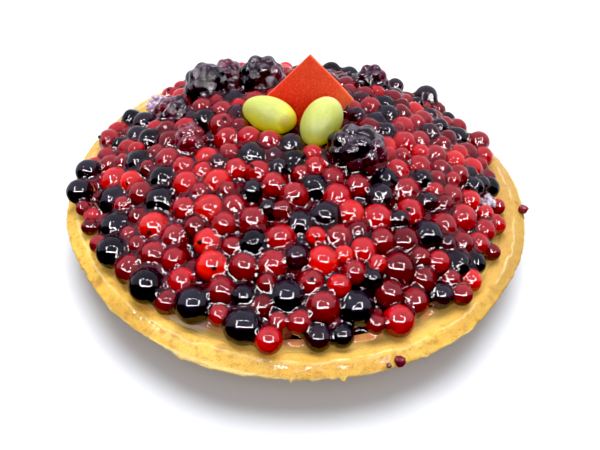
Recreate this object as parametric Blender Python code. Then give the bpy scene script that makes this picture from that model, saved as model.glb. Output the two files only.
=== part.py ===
# A forest fruit tart, 20 cm across: a shallow flared crust, a custard filling, a glazed heap of
# berries over it and, on the heap, two grapes, six brambles, a raspberry, two lumps of jelly and a
# square plaque. Origin on the floor under the middle, +Z up, the grapes to the front (-Y) of the plaque.
import math
import random

import bmesh
import bpy
from mathutils import Matrix, Vector

# Driving dimensions, in millimetres unless the name says otherwise
mm = 0.001
gap = 0.3

crust = {
    "baseRadius": 80.0,
    "wallRadius": 94.4,
    "wallHeight": 14.4,
    "lipRadius": 100.0,
    "lipHeight": 17.3,
    "ridgeRadius": 94.6,
    "ridgeHeight": 20.0,
    "innerRadius": 88.5,
    "floorRadius": 77.5,
    "floorHeight": 5.0,
    "segments": 64,
    "dentBearing": 33.0,
    "dentDepth": 2.6,
}
custard = {"height": 17.0, "meniscus": 0.4, "segments": 40}
heap = {
    "footRadius": 85.5,
    "coreRise": 24.5,
    "skinRadius": 88.0,
    "skinFoot": 25.0,
    "skinRise": 25.0,
    "segments": 40,
    "seed": 23,
    "deepest": 1.4,
    "closest": 0.8,
    "spread": 0.93,
    "firm": 4.0,
    "darkShare": 0.08,
    "darkShareBack": 0.36,
    "back": (55, 165),
    "smallestFused": 3.7,
    "trianglesKept": 0.5,
    "fill": [(5.5, 300), (5.1, 500), (4.7, 900), (4.3, 1500), (3.9, 1800), (3.5, 1800)],
}

# Toppings: middle as (x, y), half sizes along their own axes, then the long axis's bearing and tilt and
# how far the topping is lifted, where they aren't 0
toppings = {
    "grape_left": {"kind": "grape", "at": (-14.5, 8.8), "half": (12.6, 7.6, 7.5), "bearing": -26, "tilt": 2,
                   "lift": 0.3},
    "grape_right": {"kind": "grape", "at": (7.7, 3.3), "half": (11.8, 8.2, 8.1), "bearing": 64, "tilt": 20,
                    "lift": 1.3},
    "bramble_1": {"kind": "bramble", "at": (-20.9, 43.2), "half": (11.0, 10.0, 10.4), "bearing": 10},
    "bramble_2": {"kind": "bramble", "at": (-46.6, 40.6), "half": (11.2, 10.4, 10.2), "bearing": 60,
                  "tilt": 12},
    "bramble_3": {"kind": "bramble", "at": (-59.5, 23.0), "half": (8.4, 7.0, 6.6), "bearing": 170},
    "bramble_4": {"kind": "bramble", "at": (22.3, -12.0), "half": (12.6, 10.8, 10.0), "bearing": 8,
                  "tilt": -6},
    "bramble_5": {"kind": "bramble", "at": (32.0, 63.0), "half": (8.6, 7.6, 8.6), "bearing": 20},
    "bramble_6": {"kind": "bramble", "at": (-39.5, 60.0), "half": (8.4, 8.0, 8.2), "bearing": 80},
    "raspberry": {"kind": "bramble", "at": (-46.0, -4.6), "half": (7.4, 6.6, 6.8), "bearing": 130,
                  "tilt": 30},
    "jelly_lump_left": {"kind": "jelly", "at": (-71.5, 44.5), "half": (7.0, 5.4, 4.4), "bearing": 40,
                        "lift": 0.6},
    "jelly_lump_right": {"kind": "jelly", "at": (80.5, -12.5), "half": (4.8, 3.6, 3.4), "bearing": 70,
                         "lift": 0.4},
}
toppingSink = 0.92
plaque = {
    "at": (2.4, 18.3, 52.2),
    "side": 27.0,
    "thickness": 2.0,
    "lean": 10.0,
    "yaw": -5.0,
    "roll": 5.0,
    "curl": 1.4,
}
drupelets = {"size": 0.32, "cover": 0.62}

# Dark berries that stand out, as (bearing in degrees, reach, diameter), from the left rim round the front
darkDrifts = {
    "left rim": [(161, 78, 12), (174, 82, 6.5), (186, 91, 10.5), (195, 92, 10.5), (200, 80, 13.5),
                 (210, 81, 13.5), (219, 87, 12.5), (233, 87, 13), (246, 84, 13.5), (260, 85, 13)],
    "left slope": [(171, 74, 11), (175, 66, 10.5), (188, 68, 11.5), (204, 60, 11.5), (211, 63, 12.5),
                   (162, 46, 10.5), (210, 38, 7)],
    "middle": [(250, 7, 10), (214, 24, 12), (242, 38, 9), (250, 23, 8), (255, 57, 10), (256, 44, 6),
               (271, 61, 9), (285, 44, 12.5)],
    "front": [(258, 77, 8.5), (269, 74, 12.5), (277, 86, 9.5), (283, 86, 8.5), (288, 78, 13),
              (294, 71, 6.5), (312, 84, 9.5)],
    "right slope": [(314, 56, 7.5), (319, 43, 11), (321, 66, 11.5), (322, 80, 10), (327, 84, 9.5),
                    (329, 38, 9.5), (343, 53, 8), (354, 76, 8.5), (1, 84, 10)],
    "back": [(17, 37, 8), (21, 61, 9), (25, 81, 12.5), (36, 89, 8), (39, 30, 7.5), (45, 78, 7),
             (47, 90, 12), (59, 90, 9), (62, 76, 12.5), (82, 88, 11), (130, 52, 11.5)],
}
# Red berries that stand out, in the same way
redBerries = [(9, 44, 11.5), (191, 79, 12), (193, 56, 11.5), (220, 71, 11.5), (231, 52, 12),
              (246, 70, 11.5), (265, 53, 11.5), (279, 76, 12), (281, 62, 11.5), (297, 86, 11.5),
              (304, 70, 12.5), (338, 72, 12), (266, 91, 9.5), (213, 90, 7), (206, 91, 6.5), (199, 92, 6),
              (316, 89, 8), (335, 88, 6.5), (21, 90, 10.5), (228, 77, 10.5), (135, 90, 7.5), (254, 31, 10)]
# Bits stuck to the lip by their juice, as (bearing, reach, diameter)
strays = [(293.6, 99.4, 4.2), (291.3, 99.2, 1.9), (355.4, 99.3, 4.4)]
strayPressed = 0.8
# How far out the berries lie, by bearing
footReach = [(0, 87), (25, 90), (50, 91), (90, 90), (130, 91), (170, 91), (195, 92), (215, 90), (240, 87),
             (270, 88), (300, 86), (320, 89), (340, 88), (360, 87)]


def bearingOf(x, y):
    return math.degrees(math.atan2(y, x)) % 360


def reachAt(bearing):
    """The berries' outer reach at a bearing, read between the named ones."""
    for (low, lowReach), (high, highReach) in zip(footReach, footReach[1:]):
        if low <= bearing <= high:
            share = (bearing - low) / (high - low)
            return lowReach + (highReach - lowReach) * share * share * (3 - 2 * share)
    return footReach[0][1]


def coreTop(x, y):
    """Height of the bare heap core."""
    left = 1 - (x * x + y * y) / (heap["footRadius"] + 0.5) ** 2
    return custard["height"] + 0.5 + (heap["coreRise"] * left**0.8 if left > 0 else 0)


def skinTop(x, y):
    """Height that the tops of the berries reach."""
    left = 1 - (x * x + y * y) / heap["skinRadius"] ** 2
    return heap["skinFoot"] + (heap["skinRise"] * left**0.75 if left > 0 else 0)


def normalOf(surface, x, y):
    step = 0.5
    slopeX = (surface(x + step, y) - surface(x - step, y)) / (2 * step)
    slopeY = (surface(x, y + step) - surface(x, y - step)) / (2 * step)
    return Vector((-slopeX, -slopeY, 1)).normalized()


def lipWave(bearing):
    """How far the lip runs outside its circle: slow waves, and one dent at the back right."""
    turn = math.radians(bearing)
    wave = 0.55 * math.sin(3 * turn + 0.7) + 0.4 * math.sin(7 * turn + 2.1) + 0.25 * math.sin(13 * turn)
    away = (bearing - crust["dentBearing"] + 180) % 360 - 180
    return wave - crust["dentDepth"] * math.exp(-((away / 7.0) ** 2))


def ridgeWave(bearing):
    turn = math.radians(bearing)
    return 0.5 * math.sin(5 * turn + 1.2) + 0.35 * math.sin(11 * turn + 0.4)


def rimLine(bearing):
    """The top of the crust from the custard out to the lip, as (radius, height)."""
    ridge = crust["ridgeRadius"] + ridgeWave(bearing)
    lip = crust["lipRadius"] - 0.6 + lipWave(bearing)
    high = crust["ridgeHeight"]
    return [(crust["innerRadius"] + 0.3, custard["height"] + 0.6), (ridge - 0.9, high - 0.1),
            (ridge, high), (lip, crust["lipHeight"] + 0.4)]


def restHeight(x, y, radius):
    """Lowest middle of a berry that stays clear of the custard and the rim."""
    reach = math.hypot(x, y)
    away = radius + gap
    lowest = custard["height"] + away if reach < crust["innerRadius"] + 2 else 0.0
    line = rimLine(bearingOf(x, y))
    for (startR, startZ), (endR, endZ) in zip(line, line[1:]):
        for step in range(9):
            r = startR + (endR - startR) * step / 8
            z = startZ + (endZ - startZ) * step / 8
            if abs(r - reach) < away:
                lowest = max(lowest, z + math.sqrt(away**2 - (r - reach) ** 2))
    return lowest


def axesOf(topping):
    """A topping's own axes, its long one first."""
    turn = Matrix.Rotation(math.radians(topping["bearing"]), 3, "Z")
    return turn @ Matrix.Rotation(math.radians(-topping.get("tilt", 0.0)), 3, "Y")


def toppingMiddle(topping):
    """A topping lies on the bare core, a little sunk, plus its own lift."""
    x, y = topping["at"]
    half = topping["half"][2]
    z = coreTop(x, y) + toppingSink * half + topping.get("lift", 0.0)
    return Vector((x, y, max(z, restHeight(x, y, half))))


def plaqueAxes():
    """The plaque's own axes: across its face, up its face and out of it."""
    turn = Matrix.Rotation(math.radians(plaque["yaw"]), 3, "Z")
    turn = turn @ Matrix.Rotation(math.radians(-plaque["lean"]), 3, "X")
    return turn @ Matrix.Rotation(math.radians(45 - plaque["roll"]), 3, "Y")


def wayOut(middle, radius, margin=0.45):
    """Sideways, away from the topping that a berry would cross, or None where it is clear of them all."""
    for topping in toppings.values():
        away = middle - toppingMiddle(topping)
        local = axesOf(topping).transposed() @ away
        reach = [half + radius + margin for half in topping["half"]]
        if sum((local[i] / reach[i]) ** 2 for i in range(3)) < 1:
            return Vector((away.x, away.y, 0)).normalized()
    local = plaqueAxes().transposed() @ (middle - Vector(plaque["at"]))
    side = plaque["side"] / 2
    thick = plaque["thickness"] / 2 + plaque["curl"]
    out = Vector((max(abs(local.x) - side, 0), max(abs(local.y) - thick, 0), max(abs(local.z) - side, 0)))
    if out.length > radius + margin:
        return None
    return Vector((0, math.copysign(1, local.y), 0))


def berryMiddle(x, y, radius, depth):
    """The middle of a berry whose top reaches the skin, less the depth it has sunk by."""
    z = skinTop(x, y) - radius / normalOf(skinTop, x, y).z - depth
    return Vector((x, y, max(z, restHeight(x, y, radius))))


def spread(berries, sweeps):
    """Pushes berries that crowd each other apart, sideways; the ones that stand out hardly move."""
    for sweep in range(sweeps):
        for i, first in enumerate(berries):
            for second in berries[:i]:
                apart = first["middle"] - second["middle"]
                short = heap["spread"] * (first["radius"] + second["radius"]) - apart.length
                if short <= 0:
                    continue
                push = Vector((apart.x, apart.y, 0)).normalized() * short
                share = second["firm"] / (first["firm"] + second["firm"])
                first["middle"] += push * share
                second["middle"] -= push * (1 - share)
        for berry in berries:
            settle(berry)


def settle(berry):
    """Keeps a berry off the toppings, within the heap's foot and at the height of its place."""
    for step in range(12):
        out = wayOut(berry["middle"], berry["radius"])
        if out is None:
            break
        berry["middle"] += out * 0.5
    x, y = berry["middle"].x, berry["middle"].y
    pull = min(1, (reachAt(bearingOf(x, y)) + 1.5) / math.hypot(x, y))
    berry["middle"] = berryMiddle(x * pull, y * pull, berry["radius"], berry["depth"])


def layBerries():
    """Every berry of the heap: the ones that stand out first, then ever smaller ones between them."""
    draw = random.Random(heap["seed"])
    named = [(spot, "dark") for drift in darkDrifts.values() for spot in drift]
    named += [(spot, "red") for spot in redBerries]
    berries = []
    for (bearing, reach, size), kind in named:
        turn = math.radians(bearing)
        middle = berryMiddle(reach * math.cos(turn), reach * math.sin(turn), size / 2, 0.0)
        berries.append({"middle": middle, "radius": size / 2, "kind": kind, "depth": 0.0,
                        "firm": heap["firm"]})
    spread(berries, 12)
    for radius, tries in heap["fill"]:
        for attempt in range(tries):
            bearing = draw.uniform(0, 360)
            reach = (reachAt(bearing) - 0.2 * radius) * math.sqrt(draw.random())
            size = radius * draw.uniform(0.95, 1.06)
            depth = draw.uniform(0.0, heap["deepest"])
            toss = draw.random()
            turn = math.radians(bearing)
            middle = berryMiddle(reach * math.cos(turn), reach * math.sin(turn), size, depth)
            if any((middle - b["middle"]).length < heap["closest"] * (size + b["radius"]) for b in berries):
                continue
            if wayOut(middle, size, -0.3 * size):
                continue
            atBack = heap["back"][0] < bearing < heap["back"][1]
            kind = "dark" if toss < heap["darkShareBack" if atBack else "darkShare"] else "red"
            berries.append({"middle": middle, "radius": size, "kind": kind, "depth": depth, "firm": 1.0})
    spread(berries, 10)
    return [b for b in berries if wayOut(b["middle"], b["radius"]) is None]


def material(name, colour, roughness):
    made = bpy.data.materials.new(name)
    made.use_nodes = True
    shader = made.node_tree.nodes["Principled BSDF"]
    shader.inputs["Base Color"].default_value = (*colour, 1)
    shader.inputs["Roughness"].default_value = roughness
    shader.inputs["Metallic"].default_value = 0.0
    return made


def objectFrom(name, bm, finish):
    """A linked object from a bmesh in millimetres, its faces pointing out."""
    bmesh.ops.recalc_face_normals(bm, faces=bm.faces)
    bmesh.ops.scale(bm, vec=(mm, mm, mm), verts=bm.verts)
    mesh = bpy.data.meshes.new(name)
    bm.to_mesh(mesh)
    bm.free()
    mesh.materials.append(finish)
    made = bpy.data.objects.new(name, mesh)
    bpy.context.scene.collection.objects.link(made)
    return made


def turned(profile, segments, wave=None):
    """A closed solid of revolution from a profile that starts and ends on the axis."""
    bm = bmesh.new()
    rings = []
    for row, (radius, height) in enumerate(profile):
        if radius == 0:
            rings.append([bm.verts.new((0, 0, height))])
            continue
        ring = []
        for i in range(segments):
            bearing = 360 * i / segments
            r, z = wave(row, bearing, radius, height) if wave else (radius, height)
            turn = math.radians(bearing)
            ring.append(bm.verts.new((r * math.cos(turn), r * math.sin(turn), z)))
        rings.append(ring)
    for low, high in zip(rings, rings[1:]):
        for i in range(segments):
            j = (i + 1) % segments
            if len(low) == 1:
                bm.faces.new((low[0], high[i], high[j]))
            elif len(high) == 1:
                bm.faces.new((low[i], low[j], high[0]))
            else:
                bm.faces.new((low[i], low[j], high[j], high[i]))
    return bm


def bead(bm, middle, radius, up, sides=6):
    """A berry with few sides, its pole along up, drawn slightly full so that it holds its true size."""
    across = up.orthogonal().normalized()
    along = up.cross(across)
    full = radius * 1.03
    rings = []
    for polar in (36, 80, 122):
        tilt = math.radians(polar)
        twist = math.pi / sides if polar == 80 else 0
        ring = []
        for i in range(sides):
            turn = 2 * math.pi * i / sides + twist
            side = across * math.cos(turn) + along * math.sin(turn)
            ring.append(bm.verts.new(middle + (side * math.sin(tilt) + up * math.cos(tilt)) * full))
        rings.append(ring)
    top = bm.verts.new(middle + up * full)
    foot = bm.verts.new(middle - up * full)
    for i in range(sides):
        j = (i + 1) % sides
        bm.faces.new((top, rings[0][i], rings[0][j]))
        bm.faces.new((foot, rings[2][j], rings[2][i]))
        bm.faces.new((rings[0][i], rings[1][i], rings[0][j]))
        bm.faces.new((rings[0][j], rings[1][i], rings[1][j]))
        bm.faces.new((rings[1][i], rings[2][i], rings[2][j]))
        bm.faces.new((rings[1][i], rings[2][j], rings[1][j]))


def fuse(base, pieces, operation="UNION", solver="MANIFOLD"):
    """Joins or cuts base with all the pieces by one Boolean, applies it and removes them."""
    held = bpy.data.collections.new(base.name + "_pieces")
    bpy.context.scene.collection.children.link(held)
    for piece in pieces:
        bpy.context.scene.collection.objects.unlink(piece)
        held.objects.link(piece)
    cut = base.modifiers.new("fuse", "BOOLEAN")
    cut.operation = operation
    cut.operand_type = "COLLECTION"
    cut.collection = held
    cut.solver = solver
    bpy.context.view_layer.update()
    graph = bpy.context.evaluated_depsgraph_get()
    done = bpy.data.meshes.new_from_object(base.evaluated_get(graph))
    base.modifiers.clear()
    base.data = done
    for piece in pieces:
        bpy.data.objects.remove(piece)
    bpy.data.collections.remove(held)


def keepLargest(made):
    """Keeps the outer shell: drops loose scraps and fills any hollow that fusing sealed."""
    bm = bmesh.new()
    bm.from_mesh(made.data)
    unseen = set(bm.verts)
    shells = []
    while unseen:
        stack = [unseen.pop()]
        shell = []
        while stack:
            vert = stack.pop()
            shell.append(vert)
            for edge in vert.link_edges:
                other = edge.other_vert(vert)
                if other in unseen:
                    unseen.remove(other)
                    stack.append(other)
        shells.append(shell)
    shells.sort(key=len)
    bmesh.ops.delete(bm, geom=[vert for shell in shells[:-1] for vert in shell], context="VERTS")
    bm.to_mesh(made.data)
    bm.free()


def smooth(made, degrees=35):
    made.data.shade_smooth()
    made.data.set_sharp_from_angle(angle=math.radians(degrees))


def buildCrust():
    c = crust
    profile = [(0, 0), (c["baseRadius"], 0), (c["baseRadius"] + 1.4, 1.2),
               (c["wallRadius"], c["wallHeight"]), (c["lipRadius"] - 1.6, c["lipHeight"] - 1.5),
               (c["lipRadius"], c["lipHeight"] - 0.3), (c["lipRadius"] - 0.5, c["lipHeight"] + 0.5),
               (c["ridgeRadius"], c["ridgeHeight"]), (c["ridgeRadius"] - 0.9, c["ridgeHeight"] - 0.1),
               (c["innerRadius"] + 0.2, c["lipHeight"] + 0.3), (c["innerRadius"], c["lipHeight"] - 1.0),
               (c["floorRadius"], c["floorHeight"]), (0, c["floorHeight"])]
    draw = random.Random(5)
    crumbs = [(draw.uniform(-0.35, 0.35), draw.uniform(-0.2, 0.2)) for _ in range(c["segments"])]

    def wave(row, bearing, radius, height):
        if row in (4, 5, 6):
            crumb = crumbs[round(bearing * c["segments"] / 360) % c["segments"]]
            ragged = 1.0 if row == 5 else 0.4
            return radius + lipWave(bearing) + crumb[0] * ragged, height + crumb[1] * ragged
        if row in (7, 8):
            return radius + ridgeWave(bearing), height
        return radius, height

    baked = material("crust", (0.72, 0.42, 0.13), 0.55)
    made = objectFrom("crust", turned(profile, c["segments"], wave), baked)
    bits = []
    for i, (bearing, reach, size) in enumerate(strays):
        turn = math.radians(bearing)
        lowest = restHeight(reach * math.cos(turn), reach * math.sin(turn), size / 2)
        bm = bmesh.new()
        bead(bm, Vector((reach * math.cos(turn), reach * math.sin(turn), lowest - strayPressed)), size / 2,
             Vector((0, 0, 1)))
        bits.append(objectFrom(f"stray_{i}", bm, baked))
    fuse(made, bits)
    smooth(made)


def buildCustard():
    inner = crust["innerRadius"] - gap
    top = custard["height"]
    side = crust["lipHeight"] - 1.0
    slope = (crust["innerRadius"] - crust["floorRadius"]) / (side - crust["floorHeight"])
    foot = crust["floorRadius"] - gap + 0.1 * slope
    profile = [(0, crust["floorHeight"] + gap), (foot - 0.1, crust["floorHeight"] + gap), (inner - 0.1, side),
               (inner - 0.1, top + custard["meniscus"]), (inner - 1.6, top), (inner * 0.5, top), (0, top)]
    pale = material("custard", (0.83, 0.58, 0.16), 0.3)
    smooth(objectFrom("custard", turned(profile, custard["segments"]), pale))


def heapCore():
    foot = heap["footRadius"]
    under = custard["height"] + gap
    profile = [(0, under), (foot, under)]
    for share in (1.0, 0.985, 0.955, 0.9, 0.82, 0.7, 0.54, 0.36, 0.18):
        profile.append((foot * share, coreTop(foot * share, 0)))
    profile.append((0, coreTop(0, 0)))
    return turned(profile, heap["segments"])


def ellipsoid(topping):
    """A grape or a lump of jelly, in place: a ball with its poles at the ends of the long axis."""
    sides, rings = (14, 9) if topping["kind"] == "grape" else (9, 6)
    bm = bmesh.new()
    bmesh.ops.create_uvsphere(bm, u_segments=sides, v_segments=rings, radius=1)
    bmesh.ops.rotate(bm, matrix=Matrix.Rotation(math.pi / 2, 3, "Y"), verts=bm.verts)
    bmesh.ops.scale(bm, vec=topping["half"], verts=bm.verts)
    place = Matrix.Translation(toppingMiddle(topping)) @ axesOf(topping).to_4x4()
    bmesh.ops.transform(bm, matrix=place, verts=bm.verts)
    return bm


def drupeletSpots(topping):
    """Even spots over a unit ball, as many as drupelets of the real size cover a bramble with."""
    mean = sum(topping["half"]) / 3
    size = drupelets["size"] * mean
    count = round(drupelets["cover"] * 4 * mean**2 / size**2)
    golden = math.pi * (3 - math.sqrt(5))
    spots = []
    for i in range(count):
        z = 1 - (2 * i + 1) / count
        flat = math.sqrt(1 - z * z)
        spots.append(Vector((flat * math.cos(golden * i), flat * math.sin(golden * i), z)))
    return spots, size


def brambleReach(direction, topping, spots, size):
    """How far a bramble reaches from its middle in a direction: over its core or a drupelet."""
    half = topping["half"]
    slim = [length - 0.7 * size for length in half]
    reach = 1 / math.sqrt(sum((direction[k] / slim[k]) ** 2 for k in range(3)))
    for spot in spots:
        middle = Vector([spot[k] * (half[k] - size) for k in range(3)])
        along = middle.dot(direction)
        inside = size**2 - (middle.length_squared - along**2)
        if along > 0 and inside > 0:
            reach = max(reach, along + math.sqrt(inside))
    return reach


def brambleShape(topping):
    """A bramble as one closed skin drawn over its drupelets, in place."""
    spots, size = drupeletSpots(topping)
    bm = bmesh.new()
    bmesh.ops.create_icosphere(bm, subdivisions=3, radius=1)
    for vert in bm.verts:
        direction = Vector([vert.co[k] * topping["half"][k] for k in range(3)]).normalized()
        vert.co = direction * brambleReach(direction, topping, spots, size)
    place = Matrix.Translation(toppingMiddle(topping)) @ axesOf(topping).to_4x4()
    bmesh.ops.transform(bm, matrix=place, verts=bm.verts)
    return bm


def coreCutter(name, finish):
    """The bare core a gap larger all over, which the toppings are cut to fit."""
    bm = heapCore()
    for vert in bm.verts:
        if vert.co.z > custard["height"] + 1:
            up = normalOf(coreTop, vert.co.x, vert.co.y)
            vert.co += up * (gap + 0.05)
        else:
            vert.co.z -= 2
    return objectFrom(name, bm, finish)


def plaqueSheet(grow=0.0):
    """The square plaque standing on one corner, with a slight curl towards its right edge."""
    side = plaque["side"] / 2 + grow
    thick = plaque["thickness"] / 2 + grow
    bm = bmesh.new()
    steps = 6
    grid = {}
    for face, y in (("front", -thick), ("back", thick)):
        for i in range(steps + 1):
            for k in (0, 1):
                x = side * (2 * i / steps - 1)
                curl = plaque["curl"] * (max(x, 0) / side) ** 2
                grid[face, i, k] = bm.verts.new((x, y - curl, side * (2 * k - 1)))
    for i in range(steps):
        for face in ("front", "back"):
            bm.faces.new([grid[face, i, 0], grid[face, i + 1, 0], grid[face, i + 1, 1], grid[face, i, 1]])
        for k in (0, 1):
            j = i + 1
            bm.faces.new([grid["front", i, k], grid["front", j, k], grid["back", j, k], grid["back", i, k]])
    for i in (0, steps):
        bm.faces.new([grid["front", i, 0], grid["front", i, 1], grid["back", i, 1], grid["back", i, 0]])
    bmesh.ops.transform(bm, matrix=Matrix.Translation(plaque["at"]) @ plaqueAxes().to_4x4(), verts=bm.verts)
    return bm


def buildToppings():
    finishes = {
        "grape": material("grape", (0.66, 0.68, 0.14), 0.3),
        "bramble": material("bramble", (0.02, 0.008, 0.02), 0.25),
        "raspberry": material("raspberry", (0.16, 0.008, 0.02), 0.3),
        "jelly": material("jelly", (0.5, 0.36, 0.45), 0.15),
    }
    for name, topping in toppings.items():
        kind = topping["kind"]
        shape = brambleShape(topping) if kind == "bramble" else ellipsoid(topping)
        finish = finishes.get(name, finishes[kind])
        made = objectFrom(name, shape, finish)
        fuse(made, [coreCutter(name + "_core", finish)], "DIFFERENCE")
        keepLargest(made)
        smooth(made, 50)


def buildHeap():
    red = material("berries", (0.45, 0.01, 0.02), 0.2)
    core = objectFrom("berry_heap", heapCore(), red)
    pieces = []
    for i, berry in enumerate(layBerries()):
        middle, radius = berry["middle"], berry["radius"]
        if radius < heap["smallestFused"]:
            continue
        bm = bmesh.new()
        bead(bm, middle, radius, normalOf(skinTop, middle.x, middle.y))
        pieces.append(objectFrom(f"berry_{i}", bm, red))
    fuse(core, pieces)
    slot = objectFrom("plaque_slot", plaqueSheet(gap), red)
    fuse(core, [slot], "DIFFERENCE")
    keepLargest(core)
    thin = core.modifiers.new("thin", "DECIMATE")
    thin.ratio = heap["trianglesKept"]
    smooth(core, 60)


def main():
    for old in list(bpy.data.objects):
        bpy.data.objects.remove(old, do_unlink=True)
    buildCrust()
    buildCustard()
    buildToppings()
    buildHeap()
    smooth(objectFrom("plaque", plaqueSheet(), material("plaque", (0.75, 0.06, 0.02), 0.6)))


main()
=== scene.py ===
import math
import random

import bpy
import numpy as np
from mathutils import Matrix, Vector, noise


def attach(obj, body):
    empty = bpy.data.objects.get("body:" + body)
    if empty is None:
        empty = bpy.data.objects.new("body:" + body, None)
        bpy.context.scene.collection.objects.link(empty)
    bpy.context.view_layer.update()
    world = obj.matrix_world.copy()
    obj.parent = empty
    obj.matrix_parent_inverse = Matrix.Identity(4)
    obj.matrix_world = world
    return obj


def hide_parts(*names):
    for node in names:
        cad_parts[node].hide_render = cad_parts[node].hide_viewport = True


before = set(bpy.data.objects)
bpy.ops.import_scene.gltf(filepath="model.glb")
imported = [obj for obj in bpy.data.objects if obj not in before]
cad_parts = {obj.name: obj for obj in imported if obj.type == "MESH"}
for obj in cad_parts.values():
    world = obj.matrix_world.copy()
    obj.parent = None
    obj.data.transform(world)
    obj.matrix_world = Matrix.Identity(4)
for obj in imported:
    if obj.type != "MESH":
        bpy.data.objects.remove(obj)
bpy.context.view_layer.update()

# A forest fruit tart: baked crust, custard, a glazed heap of berries and the fruit and plaque on top.
# All sizes in the dictionaries are in millimetres, bearings in degrees from +X towards +Y.
mm = 0.001
gap = 0.3

crust = {
    "baseRadius": 80.0, "wallRadius": 94.4, "wallHeight": 14.4, "lipRadius": 100.0, "lipHeight": 17.3,
    "ridgeRadius": 94.6, "ridgeHeight": 20.0, "innerRadius": 88.5, "floorRadius": 77.5, "floorHeight": 5.0,
    "dentBearing": 33.0, "dentDepth": 2.6,
}
custard = {"height": 17.0}
heap = {
    "footRadius": 85.5, "coreRise": 24.5, "skinRadius": 88.0, "skinFoot": 25.0, "skinRise": 25.0,
    "seed": 23, "deepest": 1.4, "closest": 0.8, "spread": 0.93, "firm": 4.0,
    "darkShare": 0.08, "darkShareBack": 0.36, "back": (55, 165),
    "fill": [(5.5, 300), (5.1, 500), (4.7, 900), (4.3, 1500), (3.9, 1800), (3.5, 1800)],
}

# Toppings: middle as (x, y), half sizes along their own axes, then the long axis's bearing and tilt and
# how far the topping is lifted, where they aren't 0
toppings = {
    "grape_left": {"kind": "grape", "at": (-14.5, 8.8), "half": (12.6, 7.6, 7.5), "bearing": -26, "tilt": 2,
                   "lift": 0.3},
    "grape_right": {"kind": "grape", "at": (7.7, 3.3), "half": (11.8, 8.2, 8.1), "bearing": 64, "tilt": 20,
                    "lift": 1.3},
    "bramble_1": {"kind": "bramble", "at": (-20.9, 43.2), "half": (11.0, 10.0, 10.4), "bearing": 10},
    "bramble_2": {"kind": "bramble", "at": (-46.6, 40.6), "half": (11.2, 10.4, 10.2), "bearing": 60,
                  "tilt": 12},
    "bramble_3": {"kind": "bramble", "at": (-59.5, 23.0), "half": (8.4, 7.0, 6.6), "bearing": 170},
    "bramble_4": {"kind": "bramble", "at": (22.3, -12.0), "half": (12.6, 10.8, 10.0), "bearing": 8,
                  "tilt": -6},
    "bramble_5": {"kind": "bramble", "at": (32.0, 63.0), "half": (8.6, 7.6, 8.6), "bearing": 20},
    "bramble_6": {"kind": "bramble", "at": (-39.5, 60.0), "half": (8.4, 8.0, 8.2), "bearing": 80},
    "raspberry": {"kind": "bramble", "at": (-46.0, -4.6), "half": (7.4, 6.6, 6.8), "bearing": 130,
                  "tilt": 30},
    "jelly_lump_left": {"kind": "jelly", "at": (-71.5, 44.5), "half": (7.0, 5.4, 4.4), "bearing": 40,
                        "lift": 0.6},
    "jelly_lump_right": {"kind": "jelly", "at": (80.5, -12.5), "half": (4.8, 3.6, 3.4), "bearing": 70,
                         "lift": 0.4},
}
brambles = {name: topping for name, topping in toppings.items() if topping["kind"] == "bramble"}
toppingSink = 0.92
plaque = {
    "at": (2.4, 18.3, 52.2), "side": 27.0, "thickness": 2.0, "lean": 10.0, "yaw": -5.0, "roll": 5.0,
    "curl": 1.4,
}
drupelets = {"size": 0.32, "cover": 0.62}

# Dark berries that stand out, as (bearing, reach, diameter), placed from the photo through its camera
# and partly moved since
darkDrifts = {
    "left rim": [(161, 78, 12), (174, 82, 6.5), (186, 91, 10.5), (195, 92, 10.5), (200, 80, 13.5),
                 (210, 81, 13.5), (219, 87, 12.5), (233, 87, 13), (246, 84, 13.5), (260, 85, 13)],
    "left slope": [(171, 74, 11), (175, 66, 10.5), (188, 68, 11.5), (204, 60, 11.5), (211, 63, 12.5),
                   (162, 46, 10.5), (210, 38, 7)],
    "middle": [(250, 7, 10), (214, 24, 12), (242, 38, 9), (250, 23, 8), (255, 57, 10), (256, 44, 6),
               (271, 61, 9), (285, 44, 12.5)],
    "front": [(258, 77, 8.5), (269, 74, 12.5), (277, 86, 9.5), (283, 86, 8.5), (288, 78, 13),
              (294, 71, 6.5), (312, 84, 9.5)],
    "right slope": [(314, 56, 7.5), (319, 43, 11), (321, 66, 11.5), (322, 80, 10), (327, 84, 9.5),
                    (329, 38, 9.5), (343, 53, 8), (354, 76, 8.5), (1, 84, 10)],
    "back": [(17, 37, 8), (21, 61, 9), (25, 81, 12.5), (36, 89, 8), (39, 30, 7.5), (45, 78, 7),
             (47, 90, 12), (59, 90, 9), (62, 76, 12.5), (82, 88, 11), (130, 52, 11.5)],
}
# Red berries that stand out, in the same way
redBerries = [(9, 44, 11.5), (191, 79, 12), (193, 56, 11.5), (220, 71, 11.5), (231, 52, 12),
              (246, 70, 11.5), (265, 53, 11.5), (279, 76, 12), (281, 62, 11.5), (297, 86, 11.5),
              (304, 70, 12.5), (338, 72, 12), (266, 91, 9.5), (213, 90, 7), (206, 91, 6.5), (199, 92, 6),
              (316, 89, 8), (335, 88, 6.5), (21, 90, 10.5), (228, 77, 10.5), (135, 90, 7.5), (254, 31, 10)]
# Bits stuck to the lip by their juice, as (bearing, reach, diameter)
strays = [(293.6, 99.4, 4.2), (291.3, 99.2, 1.9), (355.4, 99.3, 4.4)]
strayPressed = 0.8
# How far out the berries lie, by bearing
footReach = [(0, 87), (25, 90), (50, 91), (90, 90), (130, 91), (170, 91), (195, 92), (215, 90), (240, 87),
             (270, 88), (300, 86), (320, 89), (340, 88), (360, 87)]


def bearingOf(x, y):
    return math.degrees(math.atan2(y, x)) % 360


def polar(bearing, reach):  # the point at a bearing and a reach, as x and y
    turn = math.radians(bearing)
    return reach * math.cos(turn), reach * math.sin(turn)


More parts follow.
